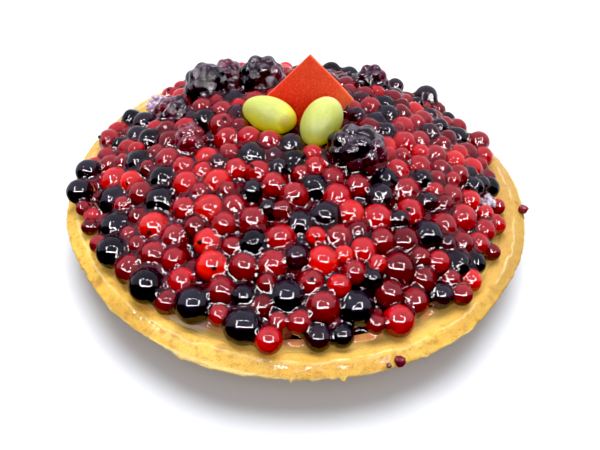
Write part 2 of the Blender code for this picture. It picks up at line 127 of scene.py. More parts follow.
def reachAt(bearing):  # the berries' outer reach at a bearing, read between the named ones
    for (low, lowReach), (high, highReach) in zip(footReach, footReach[1:]):
        if low <= bearing <= high:
            share = (bearing - low) / (high - low)
            return lowReach + (highReach - lowReach) * share * share * (3 - 2 * share)
    return footReach[0][1]


def coreTop(x, y):  # height of the bare heap core
    left = 1 - (x * x + y * y) / (heap["footRadius"] + 0.5) ** 2
    return custard["height"] + 0.5 + (heap["coreRise"] * left**0.8 if left > 0 else 0)


def skinTop(x, y):  # height that the tops of the berries reach
    left = 1 - (x * x + y * y) / heap["skinRadius"] ** 2
    return heap["skinFoot"] + (heap["skinRise"] * left**0.75 if left > 0 else 0)


def normalOf(surface, x, y):
    step = 0.5
    slopeX = (surface(x + step, y) - surface(x - step, y)) / (2 * step)
    slopeY = (surface(x, y + step) - surface(x, y - step)) / (2 * step)
    return Vector((-slopeX, -slopeY, 1)).normalized()


def lipWave(bearing):  # how far the lip runs outside its circle: slow waves, one dent at the back right
    turn = math.radians(bearing)
    wave = 0.55 * math.sin(3 * turn + 0.7) + 0.4 * math.sin(7 * turn + 2.1) + 0.25 * math.sin(13 * turn)
    away = (bearing - crust["dentBearing"] + 180) % 360 - 180
    return wave - crust["dentDepth"] * math.exp(-((away / 7.0) ** 2))


def ridgeWave(bearing):
    turn = math.radians(bearing)
    return 0.5 * math.sin(5 * turn + 1.2) + 0.35 * math.sin(11 * turn + 0.4)


def rimLine(bearing):  # the top of the crust from the custard out to the lip, as (radius, height)
    ridge = crust["ridgeRadius"] + ridgeWave(bearing)
    lip = crust["lipRadius"] - 0.6 + lipWave(bearing)
    high = crust["ridgeHeight"]
    return [(crust["innerRadius"] + 0.3, custard["height"] + 0.6), (ridge - 0.9, high - 0.1),
            (ridge, high), (lip, crust["lipHeight"] + 0.4)]


def restHeight(x, y, radius):  # lowest middle of a berry that stays clear of the custard and the rim
    reach = math.hypot(x, y)
    away = radius + gap
    lowest = custard["height"] + away if reach < crust["innerRadius"] + 2 else 0.0
    line = rimLine(bearingOf(x, y))
    for (startR, startZ), (endR, endZ) in zip(line, line[1:]):
        for step in range(9):
            r = startR + (endR - startR) * step / 8
            z = startZ + (endZ - startZ) * step / 8
            if abs(r - reach) < away:
                lowest = max(lowest, z + math.sqrt(away**2 - (r - reach) ** 2))
    return lowest


def axesOf(topping):  # a topping's own axes, its long one first
    turn = Matrix.Rotation(math.radians(topping["bearing"]), 3, "Z")
    return turn @ Matrix.Rotation(math.radians(-topping.get("tilt", 0.0)), 3, "Y")


def toppingMiddle(topping):  # a topping lies on the bare core, a little sunk, plus its own lift
    x, y = topping["at"]
    half = topping["half"][2]
    z = coreTop(x, y) + toppingSink * half + topping.get("lift", 0.0)
    return Vector((x, y, max(z, restHeight(x, y, half))))


def plaqueAxes():  # the plaque's own axes: across its face, up its face and out of it
    turn = Matrix.Rotation(math.radians(plaque["yaw"]), 3, "Z")
    turn = turn @ Matrix.Rotation(math.radians(-plaque["lean"]), 3, "X")
    return turn @ Matrix.Rotation(math.radians(45 - plaque["roll"]), 3, "Y")


def wayOut(middle, radius, margin=0.45):  # sideways, away from the topping that a berry would cross, if any
    for spot, back, halves in placedToppings:
        away = middle - spot
        local = back @ away
        reach = [half + radius + margin for half in halves]
        if sum((local[i] / reach[i]) ** 2 for i in range(3)) < 1:
            return Vector((away.x, away.y, 0)).normalized()
    local = plaqueBack @ (middle - Vector(plaque["at"]))
    side = plaque["side"] / 2
    thick = plaque["thickness"] / 2 + plaque["curl"]
    out = Vector((max(abs(local.x) - side, 0), max(abs(local.y) - thick, 0), max(abs(local.z) - side, 0)))
    if out.length > radius + margin:
        return None
    return Vector((0, math.copysign(1, local.y), 0))


def berryMiddle(x, y, radius, depth):  # for a berry whose top reaches the skin, less the depth it has sunk by
    z = skinTop(x, y) - radius / normalOf(skinTop, x, y).z - depth
    return Vector((x, y, max(z, restHeight(x, y, radius))))


def spread(berries, sweeps):  # pushes crowded berries apart, sideways; the ones that stand out hardly move
    for sweep in range(sweeps):
        for i, first in enumerate(berries):
            for second in berries[:i]:
                apart = first["middle"] - second["middle"]
                short = heap["spread"] * (first["radius"] + second["radius"]) - apart.length
                if short <= 0:
                    continue
                push = Vector((apart.x, apart.y, 0)).normalized() * short
                share = second["firm"] / (first["firm"] + second["firm"])
                first["middle"] += push * share
                second["middle"] -= push * (1 - share)
        for berry in berries:
            settle(berry)


def settle(berry):  # keeps a berry off the toppings, within the heap's foot and at the height of its place
    for step in range(12):
        out = wayOut(berry["middle"], berry["radius"])
        if out is None:
            break
        berry["middle"] += out * 0.5
    x, y = berry["middle"].x, berry["middle"].y
    pull = min(1, (reachAt(bearingOf(x, y)) + 1.5) / math.hypot(x, y))
    berry["middle"] = berryMiddle(x * pull, y * pull, berry["radius"], berry["depth"])


def layBerries():  # the berries that stand out first, then ever smaller ones between them
    draw = random.Random(heap["seed"])
    standing = [(spot, "dark") for drift in darkDrifts.values() for spot in drift]
    standing += [(spot, "red") for spot in redBerries]
    berries = []
    for (bearing, reach, size), kind in standing:
        middle = berryMiddle(*polar(bearing, reach), size / 2, 0.0)
        berries.append({"middle": middle, "radius": size / 2, "kind": kind, "depth": 0.0,
                        "firm": heap["firm"]})
    spread(berries, 12)
    for radius, tries in heap["fill"]:
        for attempt in range(tries):
            bearing = draw.uniform(0, 360)
            reach = (reachAt(bearing) - 0.2 * radius) * math.sqrt(draw.random())
            size = radius * draw.uniform(0.95, 1.06)
            depth = draw.uniform(0.0, heap["deepest"])
            toss = draw.random()
            middle = berryMiddle(*polar(bearing, reach), size, depth)
            if any((middle - b["middle"]).length < heap["closest"] * (size + b["radius"]) for b in berries):
                continue
            if wayOut(middle, size, -0.3 * size):
                continue
            atBack = heap["back"][0] < bearing < heap["back"][1]
            kind = "dark" if toss < heap["darkShareBack" if atBack else "darkShare"] else "red"
            berries.append({"middle": middle, "radius": size, "kind": kind, "depth": depth, "firm": 1.0})
    spread(berries, 10)
    return [b for b in berries if wayOut(b["middle"], b["radius"]) is None]


placedToppings = [(toppingMiddle(t), axesOf(t).transposed(), t["half"]) for t in toppings.values()]
plaqueBack = plaqueAxes().transposed()


def dropPick():  # back to object mode with nothing selected
    if bpy.context.object and bpy.context.object.mode == "EDIT":
        bpy.ops.object.mode_set(mode="OBJECT")
    bpy.ops.object.select_all(action="DESELECT")


def pick(piece):
    dropPick()
    piece.select_set(True)
    bpy.context.view_layer.objects.active = piece


def named(name):  # the primitive just added
    piece = bpy.context.object
    piece.name = name
    piece.data.name = name
    return piece


def freeze(piece):  # place, turn and size go into the mesh
    pick(piece)
    bpy.ops.object.transform_apply(location=True, rotation=True, scale=True)


def applyAll(piece):
    pick(piece)
    for modifier in list(piece.modifiers):
        bpy.ops.object.modifier_apply(modifier=modifier.name)


def editing(piece, mode="FACE", first="DESELECT"):
    pick(piece)
    bpy.ops.object.mode_set(mode="EDIT")
    bpy.ops.mesh.select_mode(type=mode)
    bpy.ops.mesh.select_all(action=first)


def choose(piece, test):  # in edit mode, selects the faces whose middle and normal pass the test
    bpy.ops.object.mode_set(mode="OBJECT")
    for face in piece.data.polygons:
        face.select = test(face.center, face.normal)
    bpy.ops.object.mode_set(mode="EDIT")


def pointsOf(piece):  # the mesh's points in millimetres
    points = np.empty(len(piece.data.vertices) * 3, np.float32)
    piece.data.vertices.foreach_get("co", points)
    return points.reshape(-1, 3).astype(float) / mm


def movePoints(piece, points):
    piece.data.vertices.foreach_set("co", (points * mm).astype(np.float32).ravel())
    piece.data.update()


def normalsOf(piece):
    normals = np.empty(len(piece.data.vertices) * 3, np.float32)
    piece.data.vertices.foreach_get("normal", normals)
    return normals.reshape(-1, 3)


def pushed(piece, far):  # each point moves out along its normal, by its own length in millimetres
    movePoints(piece, pointsOf(piece) + normalsOf(piece) * far[:, None])


def carry(mesh, label, kind, values):  # a value or a vector that each point of the mesh carries
    held = mesh.attributes.new(label, kind, "POINT")
    socket = "vector" if kind == "FLOAT_VECTOR" else "value"
    held.data.foreach_set(socket, values.astype(np.float32).ravel())


def linked(name, data):
    made = bpy.data.objects.new(name, data)
    bpy.context.scene.collection.objects.link(made)
    return made


def grain(points, size, seed, depth):  # soft noise from -1 to 1, its lumps about size millimetres across
    shift = Vector((seed * 7.3, seed * 3.1, seed * 5.7))
    return np.array([noise.fractal(Vector(p) / size + shift, 0.8, 2.0, depth) for p in points])


def smoothPiece(piece, angle=None):
    pick(piece)
    if angle:
        bpy.ops.object.shade_smooth_by_angle(angle=math.radians(angle))
    else:
        bpy.ops.object.shade_smooth()


def shells(name, profile, segments):  # a ring drawn out along (radius, height), softened, then capped
    dropPick()
    radius, height = profile[0]
    bpy.ops.mesh.primitive_circle_add(vertices=segments, radius=radius * mm, fill_type="NOTHING",
                                      location=(0, 0, height * mm))
    piece = named(name)
    freeze(piece)
    editing(piece, "EDGE", "SELECT")
    for nextRadius, nextHeight in profile[1:]:
        rise = (nextHeight - height) * mm
        bpy.ops.mesh.extrude_edges_move(TRANSFORM_OT_translate={"value": (0, 0, rise)})
        wider = nextRadius / radius
        bpy.ops.transform.resize(value=(wider, wider, 1), center_override=(0, 0, 0))
        radius, height = nextRadius, nextHeight
    dropPick()
    body = piece.modifiers.new("body", "SUBSURF")
    body.levels = body.render_levels = 1
    applyAll(piece)
    editing(piece, first="SELECT")
    bpy.ops.mesh.fill_holes(sides=0)
    bpy.ops.mesh.select_all(action="SELECT")
    bpy.ops.mesh.normals_make_consistent(inside=False)
    dropPick()
    return piece


def joined(name, pieces):
    pick(pieces[0])
    for piece in pieces[1:]:
        piece.select_set(True)
    bpy.ops.object.join()
    return named(name)


def ballModel(name, cuts):  # a cube cut into squares and blown up round: even faces and no poles
    dropPick()
    bpy.ops.mesh.primitive_cube_add(size=2 * mm)
    piece = named(name)
    editing(piece, first="SELECT")
    bpy.ops.mesh.subdivide(number_cuts=cuts)
    bpy.ops.transform.tosphere(value=1)
    dropPick()
    points = pointsOf(piece)
    movePoints(piece, points / np.linalg.norm(points, axis=1)[:, None])
    return piece


def putAway(piece):  # a model that was only copied from
    bpy.data.objects.remove(piece)


def laid(name, model, places):
    # one joined mesh: the model, 1 mm in radius, copied to each place of (middle, axes, size, tone)
    base = pointsOf(model)
    faces = [list(face.vertices) for face in model.data.polygons]
    count = len(base)
    draw = random.Random(len(places))
    points, corners, starts, lengths, tones, own, pole, up = [], [], [], [], [], [], [], []
    loop = 0
    for middle, axes, size, tone in places:
        turn = np.array(axes).T
        shift = np.array([draw.uniform(-40, 40) for _ in range(3)])
        offset = len(points) * count
        points.append((base * np.array(size)) @ turn + np.array(middle))
        tones.append(np.full(count, tone))
        own.append(base + shift)
        pole.append(base[:, 2])
        up.append((base @ turn)[:, 2])
        for face in faces:
            corners.extend(vertex + offset for vertex in face)
            starts.append(loop)
            lengths.append(len(face))
            loop += len(face)
    mesh = bpy.data.meshes.new(name)
    mesh.vertices.add(len(points) * count)
    mesh.vertices.foreach_set("co", (np.concatenate(points) * mm).astype(np.float32).ravel())
    mesh.loops.add(loop)
    mesh.loops.foreach_set("vertex_index", corners)
    mesh.polygons.add(len(starts))
    mesh.polygons.foreach_set("loop_start", starts)
    mesh.polygons.foreach_set("loop_total", lengths)
    for label, kind, values in (("tone", "FLOAT", tones), ("pole", "FLOAT", pole), ("up", "FLOAT", up),
                                ("own", "FLOAT_VECTOR", own)):
        carry(mesh, label, kind, np.concatenate(values))
    mesh.update(calc_edges=True)
    mesh.validate()
    piece = linked(name, mesh)
    smoothPiece(piece)
    return piece


def turnedAxes(draw, up, lean):  # axes spun at random, the third one at most lean degrees away from up
    across = up.orthogonal().normalized()
    away = Matrix.Rotation(draw.uniform(0, 2 * math.pi), 3, up) @ across
    pole = Matrix.Rotation(math.radians(lean) * math.sqrt(draw.random()), 3, away) @ up
    side = Matrix.Rotation(draw.uniform(0, 2 * math.pi), 3, pole) @ pole.orthogonal().normalized()
    return Matrix((side, pole.cross(side), pole)).transposed()


def dress(piece, finish, slot, *nodes):  # material, body and the node it stands for; slot is not used
    piece.data.materials.clear()
    piece.data.materials.append(finish)
    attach(piece, "root")
    if nodes:
        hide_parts(*nodes)
    print(f"{piece.name}: {len(piece.data.polygons)} faces")


def linear(red, green, blue):  # a colour as a screen shows it, in Blender's own scale
    def one(value):
        share = value / 255
        return share / 12.92 if share <= 0.04045 else ((share + 0.055) / 1.055) ** 2.4
    return (one(red), one(green), one(blue), 1.0)


class Finish:  # a material's node tree, with short ways to add nodes
    def __init__(self, name, tree=None):
        if tree is None:
            self.material = bpy.data.materials.new(name)
            self.material.use_nodes = True
            tree = self.material.node_tree
            self.shader = tree.nodes["Principled BSDF"]
        self.tree = tree

    def add(self, kind, **settings):
        node = self.tree.nodes.new(kind)
        for key, value in settings.items():
            setattr(node, key, value)
        return node

    def feed(self, socket, value):  # a value, a colour or another node's output goes into a socket
        if isinstance(value, bpy.types.NodeSocket):
            self.tree.links.new(value, socket)
        else:
            socket.default_value = value

    def own(self, name, label="Fac"):  # a value that each copy carries
        return self.add("ShaderNodeAttribute", attribute_name=name).outputs[label]

    def place(self):
        return self.add("ShaderNodeTexCoord").outputs["Object"]

    def noise(self, where, size, detail=2.0, rough=0.5):  # size is the lumps' width in the units of where
        node = self.add("ShaderNodeTexNoise")
        self.feed(node.inputs["Vector"], where)
        node.inputs["Scale"].default_value = 1 / size
        node.inputs["Detail"].default_value = detail
        node.inputs["Roughness"].default_value = rough
        return node.outputs["Fac"]

    def cells(self, where, size):
        node = self.add("ShaderNodeTexVoronoi")
        self.feed(node.inputs["Vector"], where)
        node.inputs["Scale"].default_value = 1 / size
        return node.outputs["Distance"]

    def span(self, value, low, high, start=0.0, end=1.0):  # low to high becomes start to end, smoothly
        node = self.add("ShaderNodeMapRange", interpolation_type="SMOOTHSTEP")
        self.feed(node.inputs["Value"], value)
        node.inputs["From Min"].default_value = low
        node.inputs["From Max"].default_value = high
        node.inputs["To Min"].default_value = start
        node.inputs["To Max"].default_value = end
        return node.outputs["Result"]

    def math(self, operation, first, second=0.0):
        node = self.add("ShaderNodeMath", operation=operation)
        self.feed(node.inputs[0], first)
        self.feed(node.inputs[1], second)
        return node.outputs[0]

    def times(self, first, second):
        return self.math("MULTIPLY", first, second)

    def plus(self, first, second):
        return self.math("ADD", first, second)

    def minus(self, first, second):
        return self.math("SUBTRACT", first, second)

    def apart(self, first, second):
        return self.math("ABSOLUTE", self.minus(first, second))

    def sway(self, noise, size):  # a noise made an amount to both sides of 0, size wide in all
        return self.times(self.minus(noise, 0.5), size)

    def parts(self, where):
        node = self.add("ShaderNodeSeparateXYZ")
        self.feed(node.inputs[0], where)
        return node.outputs

    def band(self, value, edges, start=0.0, end=1.0):  # a span whose two edges are in millimetres
        return self.span(value, edges[0] * mm, edges[1] * mm, start, end)

    def vector(self, operation, first, second=(0, 0, 0), output="Vector"):
        node = self.add("ShaderNodeVectorMath", operation=operation)
        self.feed(node.inputs[0], first)
        self.feed(node.inputs[1], second)
        return node.outputs[output]

    def mix(self, share, first, second, blend="MIX"):
        node = self.add("ShaderNodeMix", data_type="RGBA", blend_type=blend)
        self.feed(node.inputs["Factor"], share)
        self.feed(node.inputs[6], first)
        self.feed(node.inputs[7], second)
        return node.outputs[2]

    def ramp(self, value, *stops):
        node = self.add("ShaderNodeValToRGB")
        self.feed(node.inputs["Fac"], value)
        points = node.color_ramp.elements
        while len(points) < len(stops):
            points.new(0.5)
        for point, (at, colour) in zip(points, stops):
            point.position = at
            point.color = colour
        return node.outputs["Color"]

    def bump(self, height, depth, strength):  # depth in millimetres
        node = self.add("ShaderNodeBump")
        node.inputs["Strength"].default_value = strength
        node.inputs["Distance"].default_value = depth * mm
        self.feed(node.inputs["Height"], height)
        return node.outputs["Normal"]

    def blend(self, share, first, second):  # from one shader node to another
        node = self.add("ShaderNodeMixShader")
        for socket, value in zip(node.inputs, (share, first.outputs[0], second.outputs[0])):
            self.feed(socket, value)
        return node

    def group(self, made, **values):
        node = self.add("ShaderNodeGroup")
        node.node_tree = made
        for key, value in values.items():
            self.feed(node.inputs[key], value)
        return node.outputs

    def set(self, **values):
        for key, value in values.items():
            self.feed(self.shader.inputs[key.replace("_", " ")], value)

    def flesh(self, share, reach, size):  # how light goes in: its reach by colour, times size in millimetres
        self.set(Subsurface_Weight=share, Subsurface_Radius=reach, Subsurface_Scale=size * mm)


def groupOf(name, inputs, outputs):  # a node group with named sockets, and its input and output nodes
    tree = bpy.data.node_groups.new(name, "ShaderNodeTree")
    for label, kind, start in inputs:
        socket = tree.interface.new_socket(name=label, in_out="INPUT", socket_type=kind)
        if start is not None:
            socket.default_value = start
    for label, kind in outputs:
        tree.interface.new_socket(name=label, in_out="OUTPUT", socket_type=kind)
    made = Finish(name, tree)
    return made, made.add("NodeGroupInput").outputs, made.add("NodeGroupOutput").inputs


# the egg colour is a painted highlight along the ridge
# the shade colour is painted shade on the crust's right side
crustLook = {
    "segments": 360,
    "gold": linear(238, 196, 90), "toast": linear(188, 122, 36), "pale": linear(240, 220, 150),
    "deep": linear(226, 176, 70), "slope": linear(255, 204, 112), "juice": linear(150, 20, 16),
    "paintedEggHighlight": linear(255, 240, 190), "wall": linear(214, 146, 62), "shade": linear(188, 148, 80),
    "rough": 0.45, "pits": 0.22, "ragged": 0.42, "juiceHeight": 18.8, "glossAt": 95.3, "eggAt": 94.9,
    "slopeBand": (91.0, 94.2), "brimBand": (94.5, 96.4), "lipBand": (99.3, 100.1), "wallBand": (15.5, 17.0),
    "frontLightBand": (-60, 10), "paintedShadeBand": (50, 95),
}
# Dough tags under the lip, as (bearing, how far out, width in degrees)
doughTags = [(271.6, 1.2, 0.42), (281.8, 1.5, 0.45), (276.0, 0.5, 0.8), (249.0, 0.5, 0.9),
             (300.0, 0.45, 0.7), (262.0, 0.45, 1.0), (312.0, 0.4, 1.3), (230.0, 0.4, 1.2)]
# Red juice on the rim, as (bearing, reach, diameter)
juiceSpots = [(222, 97, 4.5), (187, 96, 4), (246, 95, 4), (256, 94, 5), (204, 95, 3), (358, 97, 2.5),
              (16, 95, 3), (291, 97, 3.5), (172, 95, 3)]


def buildCrust():
    base, wall, rise = crust["baseRadius"], crust["wallRadius"], crust["wallHeight"]
    lip, high, inner = crust["lipRadius"], crust["lipHeight"], crust["innerRadius"]
    ridge, top, floor = crust["ridgeRadius"], crust["ridgeHeight"], crust["floorHeight"]
    profile = [(20.0, 0), (76.0, 0), (base - 0.6, 0), (base + 0.6, 0.35), (base + 1.6, 1.4),
               (base + 5, 5.0), (base + 10, 10.0), (wall, rise), (wall + 1.6, rise + 0.6),
               (lip - 1.9, high - 1.7),
               (lip - 0.7, high - 1.3), (lip, high - 0.4), (lip - 0.2, high + 0.2),
               (lip - 0.9, high + 0.65), (lip - 2.2, high + 1.2), (ridge + 1.9, top - 0.65),
               (ridge + 0.6, top - 0.1), (ridge - 0.5, top), (ridge - 1.4, top - 0.35),
               (ridge - 2.8, top - 1.0), (inner + 1.2, high + 0.55), (inner + 0.2, high + 0.2),
               (inner, high - 1.0), (inner - 5, high - 6.4), (crust["floorRadius"], floor), (40.0, floor)]
    piece = shells("crust_baked", profile, crustLook["segments"])

    points = pointsOf(piece)
    reach = np.hypot(points[:, 0], points[:, 1])
    bearing = np.degrees(np.arctan2(points[:, 1], points[:, 0])) % 360
    out = points[:, :2] / np.maximum(reach, 1)[:, None]
    atLip = np.clip((reach - 95.2) / 3.2, 0, 1) * (points[:, 2] > 12.5)
    atRidge = np.exp(-((reach - ridge) / 1.9) ** 2) * (points[:, 2] > 18.0)
    shift = atLip * np.array([lipWave(b) for b in bearing])
    shift += atRidge * np.array([ridgeWave(b) for b in bearing])
    edge = np.exp(-((reach - lip) / 0.9) ** 2) * (points[:, 2] > 15) * (points[:, 2] < 18.2)
    ringed = np.stack([np.cos(np.radians(bearing)), np.sin(np.radians(bearing)), points[:, 2] * 0], 1) * 100
    shift += edge * crustLook["ragged"] * grain(ringed, 2.0, 1, 3)
    droop = edge * 0.5 * grain(ringed, 5.0, 2, 3)
    for where, far, wide in doughTags:
        tag = np.exp(-(((bearing - where + 180) % 360 - 180) / wide) ** 2) * edge
        shift += tag * far
        droop -= tag * far * 0.7
    above = np.clip((points[:, 2] - 15.5) / 2.0, 0, 1) * (reach > inner - 1)
    lumps = 0.28 * grain(points, 7.0, 3, 2) + 0.14 * grain(points, 2.6, 4, 2)
    below = (points[:, 2] > 1.5) * (reach > base) * (1 - above)
    points[:, :2] += out * (shift + below * 0.35 * grain(points, 12.0, 5, 2))[:, None]
    points[:, 2] += above * lumps + droop
    movePoints(piece, points)
    smoothPiece(piece)
    dress(piece, crustFinish(), "crust", "crust")


def crustFinish():
    f = Finish("bakedCrust")
    look = crustLook
    where = f.place()
    flat = f.vector("MULTIPLY", where, (1, 1, 0))
    reach = f.vector("LENGTH", flat, output="Value")
    around = f.vector("MULTIPLY", f.vector("NORMALIZE", flat), (95 * mm, 95 * mm, 0))
    rings = f.add("ShaderNodeCombineXYZ")
    f.feed(rings.inputs[2], f.times(reach, 2.2))
    drawn = f.vector("ADD", f.vector("MULTIPLY", around, (0.22, 0.22, 0)), rings.outputs[0])
    slow = f.noise(where, 26 * mm, 3)
    mottle = f.noise(where, 3.2 * mm, 4, 0.65)
    fine = f.noise(where, 0.8 * mm, 3, 0.65)
    streaks = f.noise(drawn, 1.1 * mm, 3, 0.6)
    holes = f.span(f.cells(where, 0.95 * mm), 0.08, 0.34, 1, 0)
    onRidge = f.band(f.apart(reach, look["glossAt"] * mm), (0.4, 3.2), 1, 0)
    x, y, z = f.parts(where)
    # the slope's pale streaked colour is its own, but it fades from full at the front to 0.35 at the back as
    # painted light; the same mask sets the slope's streaked bumps and wet coat
    onSlope = f.times(f.band(reach, look["slopeBand"], 1, 0), f.band(y, look["frontLightBand"], 1, 0.35))
    onBrim = f.band(reach, look["brimBand"])
    atLip = f.band(reach, look["lipBand"])
    colour = f.mix(f.span(slow, 0.35, 0.65), look["gold"], look["deep"])
    colour = f.mix(f.times(f.span(mottle, 0.46, 0.7), 0.55), colour, look["toast"])
    streaked = f.times(onSlope, f.span(streaks, 0.35, 0.65, 0.35, 0.95))
    colour = f.mix(streaked, colour, look["slope"])
    colour = f.mix(f.times(f.times(holes, onBrim), 0.5), colour, look["toast"])
    colour = f.mix(f.span(fine, 0.56, 0.74, 0, 0.35), colour, look["toast"])
    # painted shade: the crust darkens towards its right side
    colour = f.mix(f.band(x, look["paintedShadeBand"], 0, 0.75), colour, look["shade"])
    colour = f.mix(f.times(atLip, f.span(mottle, 0.35, 0.6, 0.4, 0.9)), colour, look["pale"])
    for bearing, spot, size in juiceSpots:
        middle = (*polar(bearing, spot * mm), look["juiceHeight"] * mm)
        away = f.vector("DISTANCE", where, middle, output="Value")
        away = f.plus(away, f.sway(mottle, 5 * mm))
        stain = f.band(away, (0.15 * size, 0.62 * size), 0.42, 0)
        colour = f.mix(stain, colour, look["juice"])
    colour = f.mix(f.band(z, look["wallBand"], 0.7, 0), colour, look["wall"])
    relief = f.minus(f.times(fine, 1.1), f.times(holes, 0.9))
    relief = f.plus(relief, f.times(f.times(streaks, onSlope), 1.4))
    # egg glaze lies in a wandering bead along the ridge, with breaks; its gloss comes from the coat, and its
    # pale colour is a painted highlight
    line = f.sway(f.noise(around, 12 * mm, 3, 0.6), 5 * mm)
    away = f.apart(f.minus(reach, look["eggAt"] * mm), line)
    present = f.span(f.noise(around, 10 * mm, 2), 0.4, 0.52)
    bead = f.times(f.band(away, (0.0, 0.75), 1, 0), present)
    # painted highlight: the bead is lightened towards a pale glint colour
    colour = f.mix(f.times(bead, 0.35), colour, look["paintedEggHighlight"])
    blobs = f.noise(f.vector("MULTIPLY", where, (1, 1, 0.3)), 2.6 * mm, 2)
    wet = f.math("MAXIMUM", bead, f.times(onRidge, f.span(slow, 0.42, 0.6, 0.1, 0.75)))
    wet = f.math("MAXIMUM", wet, f.times(onSlope, 0.6))
    height = f.plus(f.times(bead, 1.6), f.times(blobs, 0.9))
    f.set(Base_Color=colour, Roughness=f.span(mottle, 0.3, 0.7, look["rough"] - 0.06, look["rough"] + 0.14),
          Normal=f.bump(relief, look["pits"], 0.9), Coat_Weight=wet, Coat_Normal=f.bump(height, 0.4, 0.8),
          Coat_Roughness=0.07, Specular_IOR_Level=0.15)
    f.flesh(0.35, (1.0, 0.5, 0.2), 1.6)
    return f.material


custardLook = {
    "segments": 180, "yellow": linear(240, 198, 110), "warm": linear(230, 186, 92),
    "milk": linear(238, 218, 198), "blush": linear(216, 120, 100),
}
# Where the custard shows whitish under juice, as (bearing, reach, size)
milkySpots = [(246, 88, 12), (238, 88, 9), (215, 88, 9), (186, 88, 8)]


def buildCustard():
    dropPick()
    inner = crust["innerRadius"] + 1.0  # runs just into the crust, so that no slit shows
    foot = crust["floorRadius"] - gap
    low, high = crust["floorHeight"] + gap, custard["height"]
    bpy.ops.mesh.primitive_cylinder_add(vertices=custardLook["segments"], radius=inner * mm,
                                        depth=(high - low) * mm, location=(0, 0, (high + low) / 2 * mm))
    piece = named("custard_set")
    freeze(piece)
    editing(piece)
    choose(piece, lambda middle, normal: normal.z < -0.9)
    bpy.ops.transform.resize(value=(foot / inner, foot / inner, 1))
    choose(piece, lambda middle, normal: normal.z > 0.9)
    for step in (0.5, 0.9, 1.3, 1.6, 2, 2.4, 3, 4, 6, 9, 14, 20):
        bpy.ops.mesh.inset(thickness=step * mm)
    dropPick()
    points = pointsOf(piece)
    reach = np.hypot(points[:, 0], points[:, 1])
    onTop = points[:, 2] > high - 0.01
    points[:, 2] += onTop * (0.15 * grain(points, 9.0, 6, 2) + 0.05 * grain(points, 3.0, 7, 2) - 0.03)
    points[:, 2] += onTop * 0.75 * np.clip((reach - inner + 3.6) / 3.0, 0, 1) ** 2
    movePoints(piece, points)
    smoothPiece(piece, 40)
    dress(piece, custardFinish(), "custard", "custard")


def custardFinish():
    f = Finish("setCustard")
    look = custardLook
    where = f.place()
    mottle = f.noise(where, 6 * mm, 3, 0.6)
    colour = f.mix(f.span(mottle, 0.35, 0.68), look["yellow"], look["warm"])
    for bearing, reach, size in milkySpots:
        middle = (*polar(bearing, reach * mm), custard["height"] * mm)
        away = f.vector("DISTANCE", where, middle, output="Value")
        colour = f.mix(f.band(away, (0.3 * size, 0.8 * size), 0.75, 0), colour, look["milk"])
    reach = f.vector("LENGTH", f.vector("MULTIPLY", where, (1, 1, 0)), output="Value")
    juicy = f.times(f.band(reach, (84.0, 87.2), 1, 0), f.span(mottle, 0.4, 0.7, 0.2, 0.7))
    colour = f.mix(juicy, colour, look["blush"])
    f.set(Base_Color=colour, Roughness=f.span(mottle, 0.3, 0.7, 0.24, 0.4),
          Normal=f.bump(f.noise(where, 1.6 * mm, 3), 0.12, 0.5), Coat_Weight=0.3, Coat_Roughness=0.1)
    f.flesh(0.2, (1.0, 0.7, 0.3), 1.5)
    return f.material


fruitLook = {
    "reds": [(0.0, linear(40, 0, 8)), (0.25, linear(80, 1, 13)), (0.6, linear(124, 3, 17)),
             (0.86, linear(168, 8, 18)), (1.0, linear(206, 34, 22))],
    "darks": [(0.0, linear(13, 11, 17)), (0.6, linear(20, 12, 20)), (0.85, linear(40, 12, 24)),
              (1.0, linear(74, 12, 26))],
    # the fruits' painted sheen on top and painted shade below, each as (share, colour)
    "redPaintedSheen": (0.34, linear(186, 82, 88)), "redPaintedShade": (0.75, linear(42, 0, 4)),
    "darkPaintedSheen": (0.34, linear(64, 70, 84)), "darkPaintedShade": (0.8, linear(2, 1, 3)),
    "seed": 57, "lean": 125, "bare": 0.97, "squat": (0.93, 1.02), "smallDark": 4.6, "tipShare": 0.55,
    "dent": 0.15, "dentSize": 1.3, "cuts": 2, "coreSunk": 4.0,
    "deepSeed": 31, "deepTries": 9000, "deepSizes": (3.4, 5.2), "deepClosest": 0.74, "deepSunk": -0.4,
    "deepDarkShare": 0.14, "deepInset": 3.5,
}


def mottledSkin():  # the shared look of a fruit's skin: cloudy patches, veins and pores
    inputs = [("Where", "NodeSocketVector", None), ("Size", "NodeSocketFloat", 1.0),
              ("Colour", "NodeSocketColor", None), ("Shade", "NodeSocketFloat", 0.3)]
    outputs = [("Colour", "NodeSocketColor"), ("Mottle", "NodeSocketFloat"), ("Pores", "NodeSocketFloat")]
    made, given, out = groupOf("mottledSkin", inputs, outputs)
    scaled = made.vector("SCALE", given["Where"])
    made.feed(scaled.node.inputs["Scale"], made.math("DIVIDE", 1.0, given["Size"]))
    cloud = made.noise(scaled, 1.0, 3, 0.6)
    veins = made.span(made.noise(made.vector("MULTIPLY", scaled, (1, 1, 0.25)), 0.32, 2, 0.5), 0.35, 0.75)
    pores = made.span(made.cells(scaled, 0.16), 0.05, 0.4)
    darker = made.mix(made.span(cloud, 0.42, 0.75), given["Colour"], (0.0, 0.0, 0.0, 1))
    colour = made.mix(given["Shade"], given["Colour"], darker)
    lighter = made.mix(0.2, colour, (1, 0.75, 0.6, 1), "SOFT_LIGHT")
    made.feed(out["Colour"], made.mix(veins, colour, lighter))
    made.feed(out["Mottle"], cloud)
    made.feed(out["Pores"], pores)
    return made.tree


def skinned(f, stops, skin, size, shade):  # the skin's outputs, each copy's tone and how near its tip
    own, tone, pole = f.own("own", "Vector"), f.own("tone"), f.own("pole")
    return f.group(skin, Where=own, Size=size, Colour=f.ramp(tone, *stops), Shade=shade), tone, pole


